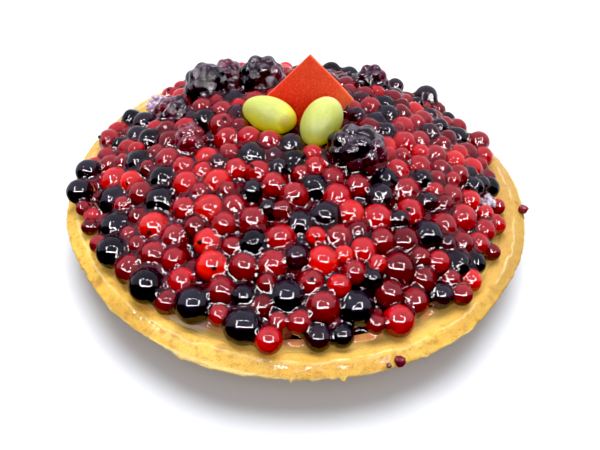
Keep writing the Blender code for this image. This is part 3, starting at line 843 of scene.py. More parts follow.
def paintedSheenAndShade(f, colour, mottle, share, top, foot):  # painted reflection: a milky sheen of jelly painted on each fruit's upward-facing top; painted shade: a deep colour below
    up = f.plus(f.own("up"), f.sway(mottle, 0.25))
    colour = f.mix(f.span(up, -0.4, 0.35, foot[0], 0), colour, foot[1])
    return f.mix(f.times(f.span(up, 0.5, 0.85, 0, top[0]), share), colour, top[1])


def redFinish(skin):
    f = Finish("redBerrySkin")
    out, tone, pole = skinned(f, fruitLook["reds"], skin, 1.1, 0.45)
    tip = f.span(pole, 0.86, 0.97)
    colour = f.mix(f.times(tip, 0.75), out["Colour"], linear(44, 6, 12))
    colour = paintedSheenAndShade(f, colour, out["Mottle"], f.span(tone, 0.15, 0.55, 0.2, 1), fruitLook["redPaintedSheen"],
                    fruitLook["redPaintedShade"])
    f.set(Base_Color=colour, Roughness=f.span(out["Mottle"], 0.3, 0.7, 0.16, 0.3),
          Normal=f.bump(out["Mottle"], 0.2, 0.4), Specular_IOR_Level=0.0)
    f.flesh(0.3, (1.0, 0.12, 0.08), 3.0)
    return f.material


def darkFinish(skin):
    f = Finish("darkBerrySkin")
    out, tone, pole = skinned(f, fruitLook["darks"], skin, 0.9, 0.4)
    bloom = f.times(f.span(out["Mottle"], 0.5, 0.8), 0.05)
    colour = f.mix(bloom, out["Colour"], linear(96, 104, 130))
    crown = f.times(f.span(pole, 0.9, 1.0), f.span(out["Pores"], 0.3, 0.8))
    colour = f.mix(f.times(crown, 0.35), colour, linear(92, 56, 40))
    colour = paintedSheenAndShade(f, colour, out["Mottle"], f.span(tone, 0.15, 0.55, 0.2, 1), fruitLook["darkPaintedSheen"],
                    fruitLook["darkPaintedShade"])
    f.set(Base_Color=colour, Roughness=f.span(out["Mottle"], 0.3, 0.75, 0.14, 0.32),
          Normal=f.bump(out["Mottle"], 0.12, 0.4), Specular_IOR_Level=0.0)
    return f.material


def redModel():  # a currant: slightly squat, with a shallow dimple at its tip
    model = ballModel("currant_model", fruitLook["cuts"])
    points = pointsOf(model)
    points *= (1.0, 1.0, 0.96)
    tip = np.clip((points[:, 2] - 0.72) / 0.24, 0, 1)
    points[:, 2] -= 0.09 * tip
    movePoints(model, points)
    return model


def darkModel():  # a blueberry: squat, with a crown round a small hollow
    model = ballModel("blueberry_model", 3)
    editing(model)
    choose(model, lambda middle, normal: middle.z > 0.86 * mm)
    bpy.ops.mesh.inset(thickness=0.16 * mm)
    bpy.ops.mesh.extrude_region_move(TRANSFORM_OT_translate={"value": (0, 0, 0.1 * mm)})
    bpy.ops.transform.resize(value=(1.12, 1.12, 1))
    bpy.ops.mesh.inset(thickness=0.06 * mm)
    bpy.ops.mesh.extrude_region_move(TRANSFORM_OT_translate={"value": (0, 0, -0.2 * mm)})
    bpy.ops.transform.resize(value=(0.7, 0.7, 1))
    dropPick()
    points = pointsOf(model) * (1.0, 1.0, 0.93)
    movePoints(model, points)
    return model


def calyxModel():  # the dried flower at a currant's tip: a small ragged cone
    dropPick()
    bpy.ops.mesh.primitive_cone_add(vertices=10, radius1=0.2 * mm, radius2=0.1 * mm, depth=0.34 * mm,
                                    location=(0, 0, 0.94 * mm))
    model = named("calyx_model")
    freeze(model)
    editing(model)
    choose(model, lambda middle, normal: normal.z > 0.9)
    bpy.ops.mesh.inset(thickness=0.04 * mm)
    bpy.ops.mesh.extrude_region_move(TRANSFORM_OT_translate={"value": (0, 0, -0.14 * mm)})
    bpy.ops.transform.resize(value=(0.6, 0.6, 1))
    dropPick()
    points = pointsOf(model)
    around = np.arctan2(points[:, 1], points[:, 0])
    points[:, :2] *= (1 + 0.3 * np.sin(5 * around + 1))[:, None]
    movePoints(model, points)
    return model


def layDeepBerries(berries):  # smaller ones lower down, so that no bare core shows between the top ones
    look = fruitLook
    draw = random.Random(look["deepSeed"])
    middles = [tuple(b["middle"]) for b in berries]
    sizes = [b["radius"] for b in berries]
    deep = []
    for attempt in range(look["deepTries"]):
        bearing = draw.uniform(0, 360)
        reach = (reachAt(bearing) - look["deepInset"]) * math.sqrt(draw.random())
        radius = draw.uniform(*look["deepSizes"])
        toss = draw.random()
        x, y = polar(bearing, reach)
        z = max(coreTop(x, y) + look["deepSunk"] * radius, custard["height"] + 0.8 * radius)
        away = np.linalg.norm(np.array(middles) - (x, y, z), axis=1)
        if (away < look["deepClosest"] * (np.array(sizes) + radius)).any():
            continue
        middle = Vector((x, y, z))
        if wayOut(middle, radius, -0.2):
            continue
        middles.append((x, y, z))
        sizes.append(radius)
        kind = "dark" if toss < look["deepDarkShare"] else "red"
        deep.append({"middle": middle, "radius": radius, "kind": kind})
    return deep


def dented(piece):  # fruit that was frozen is a little out of round
    own = np.empty(len(piece.data.vertices) * 3, np.float32)
    piece.data.attributes["own"].data.foreach_get("vector", own)
    pushed(piece, fruitLook["dent"] * grain(own.reshape(-1, 3), fruitLook["dentSize"], 1, 2))


def buildBerries(berries, deep, skin):
    look = fruitLook
    draw = random.Random(look["seed"])
    places = {"red": [], "dark": [], "small": [], "deepDark": [], "calyx": []}
    for berry in berries + deep:
        up = normalOf(skinTop, berry["middle"].x, berry["middle"].y)
        axes = turnedAxes(draw, up, look["lean"])
        radius = berry["radius"] * look["bare"]
        squat = draw.uniform(*look["squat"])
        tone = draw.random()
        isDeep = "firm" not in berry
        if berry["kind"] == "dark":
            small = radius < look["smallDark"]
            tone = min(1.0, tone * 0.8 + 0.3 * small)
            kind = "deepDark" if isDeep or small else "dark"
        else:
            # painted shade: the deeper berries take darker tones
            tone = (0.25 + 0.75 * tone) * (0.4 if isDeep else 1.0)
            kind = "small" if isDeep else "red"
        place = (berry["middle"], axes, (radius, radius, radius * squat), tone)
        places[kind].append(place)
        if kind in ("red", "deepDark") and not isDeep and draw.random() < look["tipShare"]:
            places["calyx"].append(place)
    reds, darks = redFinish(skin), darkFinish(skin)
    for name, model, kind, finish in (
            ("redcurrants", redModel(), "red", reds), ("blueberries", darkModel(), "dark", darks),
            ("redcurrants_deep", redModel(), "small", reds), ("dark_currants", redModel(), "deepDark", darks),
            ("currant_tips", calyxModel(), "calyx", calyxFinish())):
        piece = laid(name, model, places[kind])
        if kind != "calyx":
            dented(piece)
        putAway(model)
        dress(piece, finish, "berries", "berry_heap")
        print(f"  {len(places[kind])} copies")


def calyxFinish():
    f = Finish("driedFlower")
    own = f.own("own", "Vector")
    colour = f.mix(f.noise(own, 0.2, 2), linear(20, 10, 10), linear(70, 42, 28))
    f.set(Base_Color=colour, Roughness=0.7, Normal=f.bump(f.noise(own, 0.08, 2), 0.2, 0.6),
          Specular_IOR_Level=0.05)
    return f.material


def buildCore():
    foot = heap["footRadius"]
    shares = (0.985, 0.955, 0.9, 0.82, 0.7, 0.54, 0.36, 0.18, 0.05)
    profile = [(foot * 0.5, custard["height"] + gap), (foot, custard["height"] + gap)]
    sunk, lowest = fruitLook["coreSunk"], custard["height"] + 1
    profile += [(foot * share, max(lowest, coreTop(foot * share, 0) - sunk)) for share in shares]
    piece = shells("heap_core", profile, 120)
    points = pointsOf(piece)
    onTop = points[:, 2] > custard["height"] + 0.9
    points[:, 2] += onTop * (1.1 * grain(points, 4.5, 8, 2) - 0.4)
    movePoints(piece, points)
    smoothPiece(piece)
    f = Finish("darkSyrup")
    where = f.place()
    colour = f.ramp(f.noise(where, 7 * mm, 3), (0.35, linear(8, 1, 3)), (0.6, linear(34, 1, 6)),
                    (0.75, linear(60, 3, 10)))
    f.set(Base_Color=colour, Roughness=0.2, Normal=f.bump(f.noise(where, 2 * mm, 2), 0.5, 0.5),
          Specular_IOR_Level=0.0)
    dress(piece, f.material, "berries", "berry_heap")


# How dark or red each bramble's drupelets are: start, change along its own axes, scatter
brambleTones = {
    "bramble_1": (0.34, (0.42, 0.0, -0.1), 0.16), "bramble_2": (0.1, (0.0, 0.1, 0.0), 0.14),
    "bramble_3": (0.55, (0.1, 0.0, -0.1), 0.2), "bramble_4": (0.2, (0.3, -0.2, -0.2), 0.2),
    "bramble_5": (0.5, (0.1, 0.1, 0.0), 0.16), "bramble_6": (0.6, (0.0, 0.1, 0.0), 0.15),
    "raspberry": (0.5, (0.1, 0.1, 0.1), 0.25),
}
brambleLook = {
    "dark": [(0.0, linear(12, 8, 16)), (0.35, linear(24, 8, 24)), (0.6, linear(70, 12, 40)),
             (0.85, linear(120, 20, 40)), (1.0, linear(150, 30, 44))],
    "light": [(0.0, linear(74, 5, 20)), (0.5, linear(108, 12, 32)), (1.0, linear(144, 28, 48))],
}


def drupeletSpots(topping):  # even spots over a unit ball, enough for drupelets of the real size to cover it
    mean = sum(topping["half"]) / 3
    size = drupelets["size"] * mean
    count = round(drupelets["cover"] * 4 * mean**2 / size**2)
    golden = math.pi * (3 - math.sqrt(5))
    spots = []
    for i in range(count):
        z = 1 - (2 * i + 1) / count
        flat = math.sqrt(1 - z * z)
        spots.append(Vector((flat * math.cos(golden * i), flat * math.sin(golden * i), z)))
    return spots, size


def inside(spot, topping, size):  # along a topping's own axes, a bead of that size just under its surface
    return Vector([spot[k] * (topping["half"][k] - size) for k in range(3)])


def drupeletModel():  # a bead with the dried end of its thread
    model = ballModel("drupelet_model", 5)
    points = pointsOf(model)
    tip = np.clip((points[:, 2] - 0.93) / 0.07, 0, 1)
    points[:, 2] -= 0.07 * tip
    points[:, 2] *= 1.05
    movePoints(model, points)
    return model


def brambleFinish(name, stops, skin):  # juicy beads under grey wisps of jelly painted as reflections on their tops, with painted shade below
    f = Finish(name)
    out, tone, pole = skinned(f, stops, skin, 0.9, 0.35)
    colour = f.mix(f.times(f.span(pole, 0.965, 0.995), 0.6), out["Colour"], linear(60, 34, 24))
    paintedSheenWisps = f.span(f.noise(f.place(), 2.4 * mm, 3, 0.65), 0.42, 0.64)
    colour = paintedSheenAndShade(f, colour, out["Mottle"], paintedSheenWisps, (0.5, linear(150, 148, 162)), (0.6, linear(8, 0, 5)))
    f.set(Base_Color=colour, Roughness=f.span(out["Mottle"], 0.3, 0.7, 0.12, 0.26),
          Normal=f.bump(out["Mottle"], 0.2, 0.5), Specular_IOR_Level=0.0)
    f.flesh(0.2, (1.0, 0.15, 0.2), 1.5)
    return f.material


def buildBramble(name, model, finish):
    topping = toppings[name]
    start, change, scatter = brambleTones[name]
    spots, size = drupeletSpots(topping)
    half, own, middle = topping["half"], axesOf(topping), toppingMiddle(topping)
    draw = random.Random(name)
    places = []
    for spot in spots:
        away = inside(spot, topping, size)
        up = own @ Vector([spot[k] / half[k] for k in range(3)]).normalized()
        tone = start + sum(change[k] * spot[k] for k in range(3)) + draw.uniform(-scatter, scatter)
        full = size * draw.uniform(0.93, 1.03)
        axes = turnedAxes(draw, up, 8)
        places.append((middle + own @ away, axes, (full, full, size), min(1, max(0, tone))))
    skin = laid(name + "_skin", model, places)
    slim = [length - 0.75 * size for length in half]
    core = laid(name + "_core", model, [(middle, own, slim, max(0.0, start - 0.25))])
    piece = joined(name + "_beads", [skin, core])
    dress(piece, finish, "raspberry" if name == "raspberry" else "bramble", name)


# grape colours: the low one is brightened as painted light from below and through the flesh, and the right
# one is a pale end painted where light shows through the right grape
grapeLook = {
    "top": linear(192, 200, 106), "low": linear(240, 242, 10), "right": linear(218, 228, 160),
    "tip": linear(176, 132, 20),
}


def buildGrape(name):
    topping = toppings[name]
    model = ballModel(name + "_model", 14)
    half = np.array(topping["half"])
    points = pointsOf(model)
    points *= (1 + 0.012 * grain(points, 0.9, 9, 2))[:, None]
    points[:, 1] *= 1 + 0.03 * points[:, 0]
    points[:, 2] *= 1 + 0.03 * points[:, 0]
    movePoints(model, points)
    piece = laid(name + "_flesh", model, [(toppingMiddle(topping), axesOf(topping), half, 0.5)])
    held = piece.data.attributes["own"]
    held.data.foreach_set("vector", points.astype(np.float32).ravel())
    putAway(model)
    dress(piece, grapeFinish(name), "grape", name)


def grapeFinish(name):
    f = Finish(name + "_flesh")
    look = grapeLook
    own = f.own("own", "Vector")
    along, across, up = f.parts(own)
    shade = f.noise(own, 0.9, 3, 0.6)
    # painted light: the lower half takes the brighter, saturated low colour, the top a paler one
    high = f.span(f.plus(up, f.sway(shade, 0.8)), -0.5, 0.7)
    colour = f.mix(high, look["low"], look["top"])
    # painted light: towards the far end of its long axis the right grape turns pale, as light through it; the
    # left one takes more of the low colour
    far = look["right"] if name == "grape_right" else look["low"]
    colour = f.mix(f.span(along, 0.2, 1.0, 0, 0.5), colour, far)
    veins = f.noise(f.vector("MULTIPLY", own, (0.35, 1.6, 1.6)), 0.42, 2, 0.5)
    line = f.span(f.apart(veins, 0.5), 0.0, 0.035, 0.1, 0)
    colour = f.mix(line, colour, linear(240, 240, 190))
    dots = f.span(f.cells(own, 0.2), 0.05, 0.13, 0.5, 0)
    colour = f.mix(dots, colour, linear(128, 104, 30))
    if name == "grape_left":
        end = f.plus(along, f.sway(shade, 0.5))
        end = f.minus(end, f.times(across, 0.25))
        colour = f.mix(f.span(end, 0.78, 1.0, 0, 0.6), colour, look["tip"])
    f.set(Base_Color=colour, Roughness=f.span(shade, 0.3, 0.7, 0.34, 0.5),
          Normal=f.bump(f.noise(own, 0.35, 2), 0.25, 0.5), Specular_IOR_Level=0.3)
    f.flesh(0.9, (1.0, 0.98, 0.5), 16.0)
    return f.material


def softened(piece, rounds):
    soft = piece.modifiers.new("soft", "SMOOTH")
    soft.factor = 0.5
    soft.iterations = rounds
    applyAll(piece)


def remeshed(piece, size):  # overlapping shells become one skin, then it is smoothed
    fine = piece.modifiers.new("skin", "REMESH")
    fine.mode = "VOXEL"
    fine.voxel_size = size * mm
    softened(piece, 1)
    smoothPiece(piece)


# the pale colour is partly the jelly's own whitish colour, partly painted highlights
lumpLook = {
    "jelly_lump_left": linear(168, 136, 172), "jelly_lump_right": linear(120, 106, 122),
    "pale": linear(232, 222, 236), "blobs": 22, "sizes": (0.16, 0.4), "voxel": 0.28, "spikeSize": 1.6,
    "spikes": 2.0,
}


def buildLump(name):  # a spoonful of set jelly, a few blobs run together and drawn out into spikes
    topping = toppings[name]
    model = ballModel(name + "_model", 5)
    draw = random.Random(name)
    half, own, middle = topping["half"], axesOf(topping), toppingMiddle(topping)
    places = [(middle, own, [0.8 * length for length in half], 0.5)]
    for blob in range(lumpLook["blobs"]):
        way = Vector((draw.gauss(0, 1), draw.gauss(0, 1), draw.gauss(0, 1))).normalized()
        size = draw.uniform(*lumpLook["sizes"]) * half[2]
        places.append((middle + own @ inside(way, topping, size), own, (size, size, size), 0.5))
    piece = laid(name + "_set", model, places)
    putAway(model)
    remeshed(piece, lumpLook["voxel"])
    spikes = np.maximum(0.0, grain(pointsOf(piece), lumpLook["spikeSize"], 21, 2) + 0.2)
    pushed(piece, lumpLook["spikes"] * spikes - 0.5)
    f = Finish(name + "_set")
    where = f.place()
    cloud = f.noise(where, 1.8 * mm, 3)
    # whitish patches by noise over the lilac: partly the jelly's own colour, partly painted highlights
    f.set(Base_Color=f.mix(f.span(cloud, 0.4, 0.65, 0, 0.85), lumpLook[name], lumpLook["pale"]),
          Roughness=f.span(cloud, 0.3, 0.7, 0.06, 0.16), Normal=f.bump(cloud, 0.3, 0.5), Coat_Weight=1.0,
          Coat_Roughness=0.03)
    f.flesh(0.7, (1.0, 0.6, 0.8), 3.0)
    dress(piece, f.material, "jelly", name)


plaqueLook = {
    "left": linear(255, 56, 40), "right": linear(255, 112, 66), "top": linear(255, 86, 52),
    "cuts": 22, "soft": 0.35, "nick": (13.4, 9.5, 0.9),
}


def buildPlaque():
    dropPick()
    side, thick = plaque["side"], plaque["thickness"]
    bpy.ops.mesh.primitive_cube_add(size=1, scale=(side * mm, thick * mm, side * mm))
    piece = named("plaque_sheet")
    freeze(piece)
    editing(piece, "EDGE", "SELECT")
    bpy.ops.mesh.bevel(offset=plaqueLook["soft"] * mm, segments=3)
    for normal in (Vector((1, 0, 0)), Vector((0, 0, 1))):
        for cut in range(1, plaqueLook["cuts"]):
            at = side * mm * (cut / plaqueLook["cuts"] - 0.5)
            bpy.ops.mesh.select_all(action="SELECT")
            bpy.ops.mesh.bisect(plane_co=normal * at, plane_no=normal)
    dropPick()
    points = pointsOf(piece)
    along = np.maximum(points[:, 0], 0) / (side / 2)
    points[:, 1] -= plaque["curl"] * along**2
    points += 0.12 * np.stack([grain(points, 5.0, seed, 2) for seed in (11, 12, 13)], 1)
    nickX, nickZ, nickSize = plaqueLook["nick"]
    nick = np.exp(-((np.hypot(points[:, 0] - nickX, points[:, 2] - nickZ)) / nickSize) ** 2)
    points[:, 0] -= nickSize * nick
    carry(piece.data, "own", "FLOAT_VECTOR", points / side)
    movePoints(piece, points @ np.array(plaqueAxes()).T + np.array(plaque["at"]))
    smoothPiece(piece, 50)
    dress(piece, plaqueFinish(), "plaque", "plaque")


def plaqueFinish():
    f = Finish("mottledSugar")
    look = plaqueLook
    own = f.own("own", "Vector")
    across, out, up = f.parts(own)
    cloud = f.noise(own, 0.22, 4, 0.65)
    fine = f.noise(own, 0.035, 3, 0.6)
    edge = f.plus(across, f.sway(cloud, 0.12))
    colour = f.mix(f.span(up, -0.3, 0.5), look["left"], look["top"])
    colour = f.mix(f.span(edge, 0.12, 0.34), colour, look["right"])
    colour = f.mix(f.span(cloud, 0.4, 0.7, 0, 0.25), colour, linear(214, 36, 28))
    colour = f.mix(f.span(fine, 0.5, 0.75, 0, 0.45), colour, linear(255, 150, 110))
    colour = f.mix(f.span(fine, 0.28, 0.48, 0.45, 0), colour, linear(206, 28, 18))
    f.set(Base_Color=colour, Roughness=f.span(fine, 0.3, 0.7, 0.45, 0.62),
          Normal=f.bump(f.plus(cloud, fine), 0.15, 0.7), Specular_IOR_Level=0.1, Sheen_Weight=1.0,
          Sheen_Roughness=0.6, Sheen_Tint=linear(255, 150, 110))
    f.flesh(0.8, (1.0, 0.45, 0.25), 2.5)
    return f.material


def buildStrays(skin):  # a berry bead and two bits of bramble stuck to the lip
    model = ballModel("bit_model", 5)
    for name, (bearing, reach, size), tone, stops in (
            ("stray_bramble_bead", strays[0], 0.85, brambleLook["dark"]),
            ("stray_crumb", strays[1], 0.2, brambleLook["light"]),
            ("stray_red_bead", strays[2], 0.9, brambleLook["light"])):
        x, y = polar(bearing, reach)
        middle = Vector((x, y, restHeight(x, y, size / 2) - strayPressed))
        axes = turnedAxes(random.Random(name), Vector((0, 0, 1)), 30)
        half = size / 2
        piece = laid(name, model, [(middle, axes, (half, half * 0.95, half * 0.96), tone)])
        points = pointsOf(piece)
        points += 0.1 * size * np.stack([grain(points, size * 0.4, seed, 2) for seed in (14, 15, 16)], 1)
        movePoints(piece, points)
        finish = brambleFinish(name + "_skin", stops, skin)
        finish.node_tree.nodes["Principled BSDF"].inputs["Coat Weight"].default_value = 1.0
        dress(piece, finish, "berries", "crust")
    putAway(model)


glazeLook = {
    "coat": 0.28, "least": 0.08, "most": 0.9, "onBramble": 1.2, "sunk": 3.5, "voxel": 0.9, "rounds": 2,
    "cutHeight": 16.8, "thinBearing": 290, "thinWidth": 65, "thinSpot": (-2, -28), "thinRadius": 42,
    "clear": linear(250, 232, 242), "pink": linear(255, 206, 224), "ior": 1.5,
    "web": linear(166, 108, 128), "blush": linear(132, 54, 76), "milk": 0.6,
}


def glazeThickness(x, y, most=0.9):  # full at the left, back and right, less in the middle and the front
    look = glazeLook
    bearing, reach = bearingOf(x, y), math.hypot(x, y)
    away = abs((bearing - look["thinBearing"] + 180) % 360 - 180)
    thin = 0.7 * max(0.0, 1 - away / look["thinWidth"]) * min(1, reach / 40)
    spotX, spotY = look["thinSpot"]
    thin = max(thin, 0.85 * max(0.0, 1 - math.hypot(x - spotX, y - spotY) / look["thinRadius"]))
    patch = noise.fractal(Vector((x, y, 3)) / 11, 0.8, 2.0, 2)
    return max(0.0, min(1.0, most - thin + 0.9 * patch))


def awayFrom(topping, x, y):  # sideways from a topping's middle, as a share of its long half
    return math.hypot(x - topping["at"][0], y - topping["at"][1]) / topping["half"][0]


def bridged(x, y):  # how wide a gap the glaze closes over, as the radius of its fillets
    look = glazeLook
    wide = look["least"] + (look["most"] - look["least"]) * glazeThickness(x, y)
    for topping in brambles.values():
        share = min(1.0, max(0.0, 4 - 3.2 * awayFrom(topping, x, y)))
        wide = max(wide, look["onBramble"] * share)
    return wide


def buildGlaze(berries, deep):
    # everything grows by the fillets' radius, becomes one skin and shrinks back: gaps stay filled
    look = glazeLook
    level = Matrix.Identity(3)
    ball = ballModel("glaze_model", 5)
    beads = [(b["middle"], b["radius"] * 0.99) for b in berries + deep]
    for topping in brambles.values():
        spots, size = drupeletSpots(topping)
        for spot in spots:
            away = inside(spot, topping, size)
            beads.append((toppingMiddle(topping) + axesOf(topping) @ away, size * 0.98))
    places = []
    for middle, radius in beads:
        full = radius + look["coat"] + bridged(middle.x, middle.y)
        places.append((middle, level, (full, full, full), 0.5))
    for topping in toppings.values():
        if topping["kind"] in ("bramble", "grape"):
            half = [0.8 * length for length in topping["half"]]
            spot = toppingMiddle(topping) - Vector((0, 0, 0.3 * half[2]))
            places.append((spot, axesOf(topping), half, 0.5))
    skins = laid("glaze_skins", ball, places)
    putAway(ball)
    foot = heap["footRadius"] + 0.8
    shares = (1.0, 0.97, 0.92, 0.84, 0.72, 0.56, 0.38, 0.2, 0.06)
    profile = [(foot * 0.4, 12.5), (foot + 1.2, 12.5), (foot + 1.4, 17.1)]
    profile += [(foot * share, max(17.3, coreTop(foot * share * 0.99, 0) - look["sunk"])) for share in shares]
    pool = shells("glaze_pool", profile, 90)
    points = pointsOf(pool)
    points[:, 2] += (points[:, 2] > 16.5) * np.array([bridged(x, y) for x, y, z in points])
    movePoints(pool, points)
    piece = joined("glaze", [skins, pool])
    remeshed(piece, look["voxel"])
    pushed(piece, -np.array([bridged(x, y) for x, y, z in pointsOf(piece)]))
    softened(piece, look["rounds"])
    editing(piece, first="SELECT")
    bpy.ops.mesh.bisect(plane_co=(0, 0, look["cutHeight"] * mm), plane_no=(0, 0, 1), clear_inner=True,
                        use_fill=True)
    dropPick()
    shares = webs(piece, beads)
    smoothPiece(piece)
    carry(piece.data, "milky", "FLOAT", shares)
    for name in ("tone", "pole", "up", "own"):
        held = piece.data.attributes.get(name)
        if held:
            piece.data.attributes.remove(held)
    dress(piece, glazeFinish(), "jelly")


def webs(piece, beads):
    # rounds the thin coat on each fruit, and finds how milky each point is: the glaze is thick where it
    # runs clear of the fruit
    look = glazeLook
    points = pointsOf(piece)
    clear = np.full(len(points), 99.0)
    rounded = points.copy()
    for middle, radius in beads:
        near = np.flatnonzero(np.abs(points[:, 0] - middle.x) < radius + 4)
        out = points[near] - middle
        away = np.linalg.norm(out, axis=1)
        closer = away - radius < clear[near]
        clear[near[closer]] = away[closer] - radius
        coat = radius + look["coat"]
        rounded[near[closer]] = np.array(middle) + out[closer] * (coat / away[closer])[:, None]
    clear -= look["coat"]
    thin = np.clip((0.45 - np.abs(clear)) / 0.25, 0, 1)
    thin *= thin * (3 - 2 * thin)
    movePoints(piece, points + (rounded - points) * thin[:, None])
    return np.clip((clear - 0.1) / 1.1, 0, 1) * np.array([milkAt(x, y) for x, y, z in points])


def milkAt(x, y):  # clearer jelly over the brambles
    share = glazeThickness(x, y, 0.5)
    for topping in brambles.values():
        share *= min(1.0, max(0.3, 1.5 * awayFrom(topping, x, y) - 1.0))
    return share


def glazeFinish():
    f = Finish("clearGlaze")
    look = glazeLook
    where = f.place()
    ripple = f.noise(where, 3.0 * mm, 2)
    wrinkled = 0.0
    for topping in brambles.values():
        away = f.vector("DISTANCE", where, toppingMiddle(topping) * mm, output="Value")
        far = topping["half"][0] * mm
        wrinkled = f.math("MAXIMUM", wrinkled, f.span(away, 0.9 * far, 1.25 * far, 1, 0))
    fine = f.times(f.noise(where, 1.5 * mm, 4, 0.65), f.times(wrinkled, 9.0))
    f.set(Base_Color=f.mix(f.span(ripple, 0.4, 0.7), look["clear"], look["pink"]),
          Roughness=0.0, Normal=f.bump(f.plus(ripple, fine), 0.12, 0.3), Transmission_Weight=1.0,
          IOR=look["ior"], Specular_IOR_Level=1.0)
    out = f.tree.nodes["Material Output"]
    path = f.add("ShaderNodeLightPath")
    through = f.add("ShaderNodeBsdfTransparent")
    jelly = f.add("ShaderNodeBsdfPrincipled")
    f.feed(jelly.inputs["Base Color"], f.mix(f.span(ripple, 0.35, 0.65), look["web"], look["blush"]))
    jelly.inputs["Roughness"].default_value = 0.06
    f.feed(jelly.inputs["Normal"], f.bump(f.plus(ripple, fine), 0.12, 0.3))
    filled = f.blend(f.times(f.own("milky"), look["milk"]), f.shader, jelly)
    f.feed(out.inputs["Surface"], f.blend(path.outputs["Is Shadow Ray"], filled, through).outputs[0])
    return f.material


stage = {
    "sky": {"tilt": 57, "soft": 0.05, "glossy": 0.55, "behind": 0.5, "dark": 0.0, "seen": 1.05,
            "sun": (-0.02, 0.49, 0.87), "diffuse": 7.6, "inner": 0.975, "outer": 0.82,
            "fill": 0.03, "front": 1.3, "tint": (0.93, 0.96, 1.07, 1)},
    "frame": {"rise": 67, "away": 0.7, "wide": 0.46, "high": 0.25, "strip": 0.09, "light": 30},
    "floor": linear(234, 237, 244), "floorBounce": linear(150, 152, 160),
    "floorFront": linear(60, 62, 66), "floorBehind": linear(236, 240, 248), "floorTurn": (-40, 70),
    "black": (0.009, 0.01, 0.01),
}
camera = {
    "lens": 38.44, "sensor": 36, "nearest": 0.01, "at": (1.873, -218.456, 206.227),
    "right": (0.99746, 0.04978, 0.05093), "up": (-0.07122, 0.69721, 0.71332),
    "back": (0.0, -0.71513, 0.69899),
}


def lamp(name, at, size, light, facing):  # light is how bright its face looks; only gloss shows it
    data = bpy.data.lights.new(name, "AREA")
    data.shape = "RECTANGLE"
    data.size, data.size_y = size
    data.energy = 4 * light * size[0] * size[1]
    made = linked(name, data)
    made.location = at
    made.rotation_euler = facing.to_euler()
    made.visible_diffuse = made.visible_transmission = False


def buildFloor():
    dropPick()
    bpy.ops.mesh.primitive_plane_add(size=4, location=(0, 0, -0.1 * mm))
    floor = named("floor")
    f = Finish("paleTable")
    path = f.add("ShaderNodeLightPath")
    y = f.parts(f.place())[1]
    shine = f.mix(f.band(y, stage["floorTurn"]), stage["floorFront"], stage["floorBehind"])
    colour = f.mix(path.outputs["Is Glossy Ray"], stage["floorBounce"], shine)
    f.set(Base_Color=f.mix(path.outputs["Is Camera Ray"], colour, stage["floor"]), Roughness=0.9,
          Specular_IOR_Level=0.0)
    floor.data.materials.append(f.material)


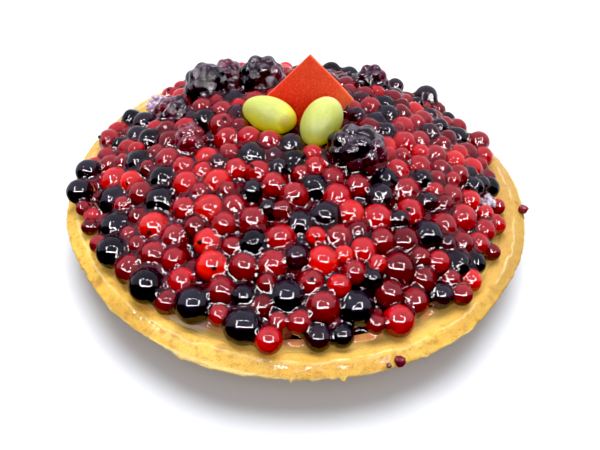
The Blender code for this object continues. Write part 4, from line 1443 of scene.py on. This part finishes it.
def buildSky():  # a tent, bright above and behind, dark low in front, with a lamp's bright frame overhead
    strips, sky = stage["frame"], stage["sky"]
    rise = math.radians(strips["rise"])
    middle = Vector((0, -math.cos(rise), math.sin(rise))) * strips["away"]
    facing = (-middle).to_track_quat("-Z", "Y")
    side, up = facing @ Vector((1, 0, 0)), facing @ Vector((0, 1, 0))
    up *= math.copysign(1, up.z)
    wide, high, strip = strips["wide"], strips["high"], strips["strip"]
    for name, shift, size in (("bottom", -up * high, (2 * wide, strip)),
                              ("top", up * high, (2 * wide, strip * 0.18)),
                              ("left", -side * wide, (strip, 2 * high)),
                              ("right", side * wide, (strip, 2 * high))):
        lamp("frame_" + name, middle + shift, size, strips["light"], facing)
    world = bpy.data.worlds.new("studio")
    bpy.context.scene.world = world
    world.use_nodes = True
    f = Finish("studio", world.node_tree)
    path = f.add("ShaderNodeLightPath").outputs
    direction = f.add("ShaderNodeTexCoord").outputs["Generated"]
    tilt = math.radians(sky["tilt"])
    above = f.vector("DOT_PRODUCT", direction, (0, math.sin(tilt), math.cos(tilt)), output="Value")
    behind = f.vector("DOT_PRODUCT", direction, (0, 0.95, 0.3), output="Value")
    tent = f.span(above, -sky["soft"], sky["soft"], sky["dark"], 1.0)
    tent = f.times(tent, f.span(behind, 0.45, 1.0, sky["glossy"], sky["behind"]))
    overhead = f.vector("DOT_PRODUCT", direction, sky["sun"], output="Value")
    soft = f.span(overhead, sky["outer"], sky["inner"], sky["fill"], sky["diffuse"])
    ahead = f.vector("DOT_PRODUCT", direction, (0, -0.8, 0.6), output="Value")
    soft = f.plus(soft, f.span(ahead, 0.5, 1.0, 0, sky["front"]))
    light = f.times(path["Is Glossy Ray"], tent)
    light = f.plus(light, f.times(f.minus(1.0, path["Is Glossy Ray"]), soft))
    seen = f.times(path["Is Camera Ray"], sky["seen"])
    hidden = f.minus(1.0, path["Is Camera Ray"])
    back = world.node_tree.nodes["Background"]
    f.feed(back.inputs["Strength"], f.plus(seen, f.times(hidden, light)))
    f.feed(back.inputs["Color"], f.mix(path["Is Glossy Ray"], (1, 1, 1, 1), sky["tint"]))


def buildCamera():
    data = bpy.data.cameras.new("camera")
    data.lens = camera["lens"]
    data.sensor_width = camera["sensor"]
    data.clip_start = camera["nearest"]
    made = linked("camera", data)
    place = Matrix((camera["right"], camera["up"], camera["back"])).transposed().to_4x4()
    place.translation = [length * mm for length in camera["at"]]
    made.matrix_world = place
    bpy.context.scene.camera = made


print("laying the berries")
berries = layBerries()
deep = layDeepBerries(berries)
print(len(berries), "berries and", len(deep), "deeper ones")
skin = mottledSkin()
buildCrust()
buildCustard()
buildCore()
buildBerries(berries, deep, skin)
drupelet = drupeletModel()
darkBramble = brambleFinish("brambleSkin", brambleLook["dark"], skin)
lightBramble = brambleFinish("raspberrySkin", brambleLook["light"], skin)
for name in brambles:
    buildBramble(name, drupelet, lightBramble if name == "raspberry" else darkBramble)
putAway(drupelet)
for side in ("left", "right"):
    buildGrape("grape_" + side)
for side in ("left", "right"):
    buildLump("jelly_lump_" + side)
buildPlaque()
buildStrays(skin)
buildGlaze(berries, deep)
buildFloor()
buildSky()
buildCamera()
view = bpy.context.scene.view_settings
view.view_transform = "Standard"
view.use_curve_mapping = True  # blacks as deep as in the photo
view.curve_mapping.black_level = stage["black"]
view.curve_mapping.update()
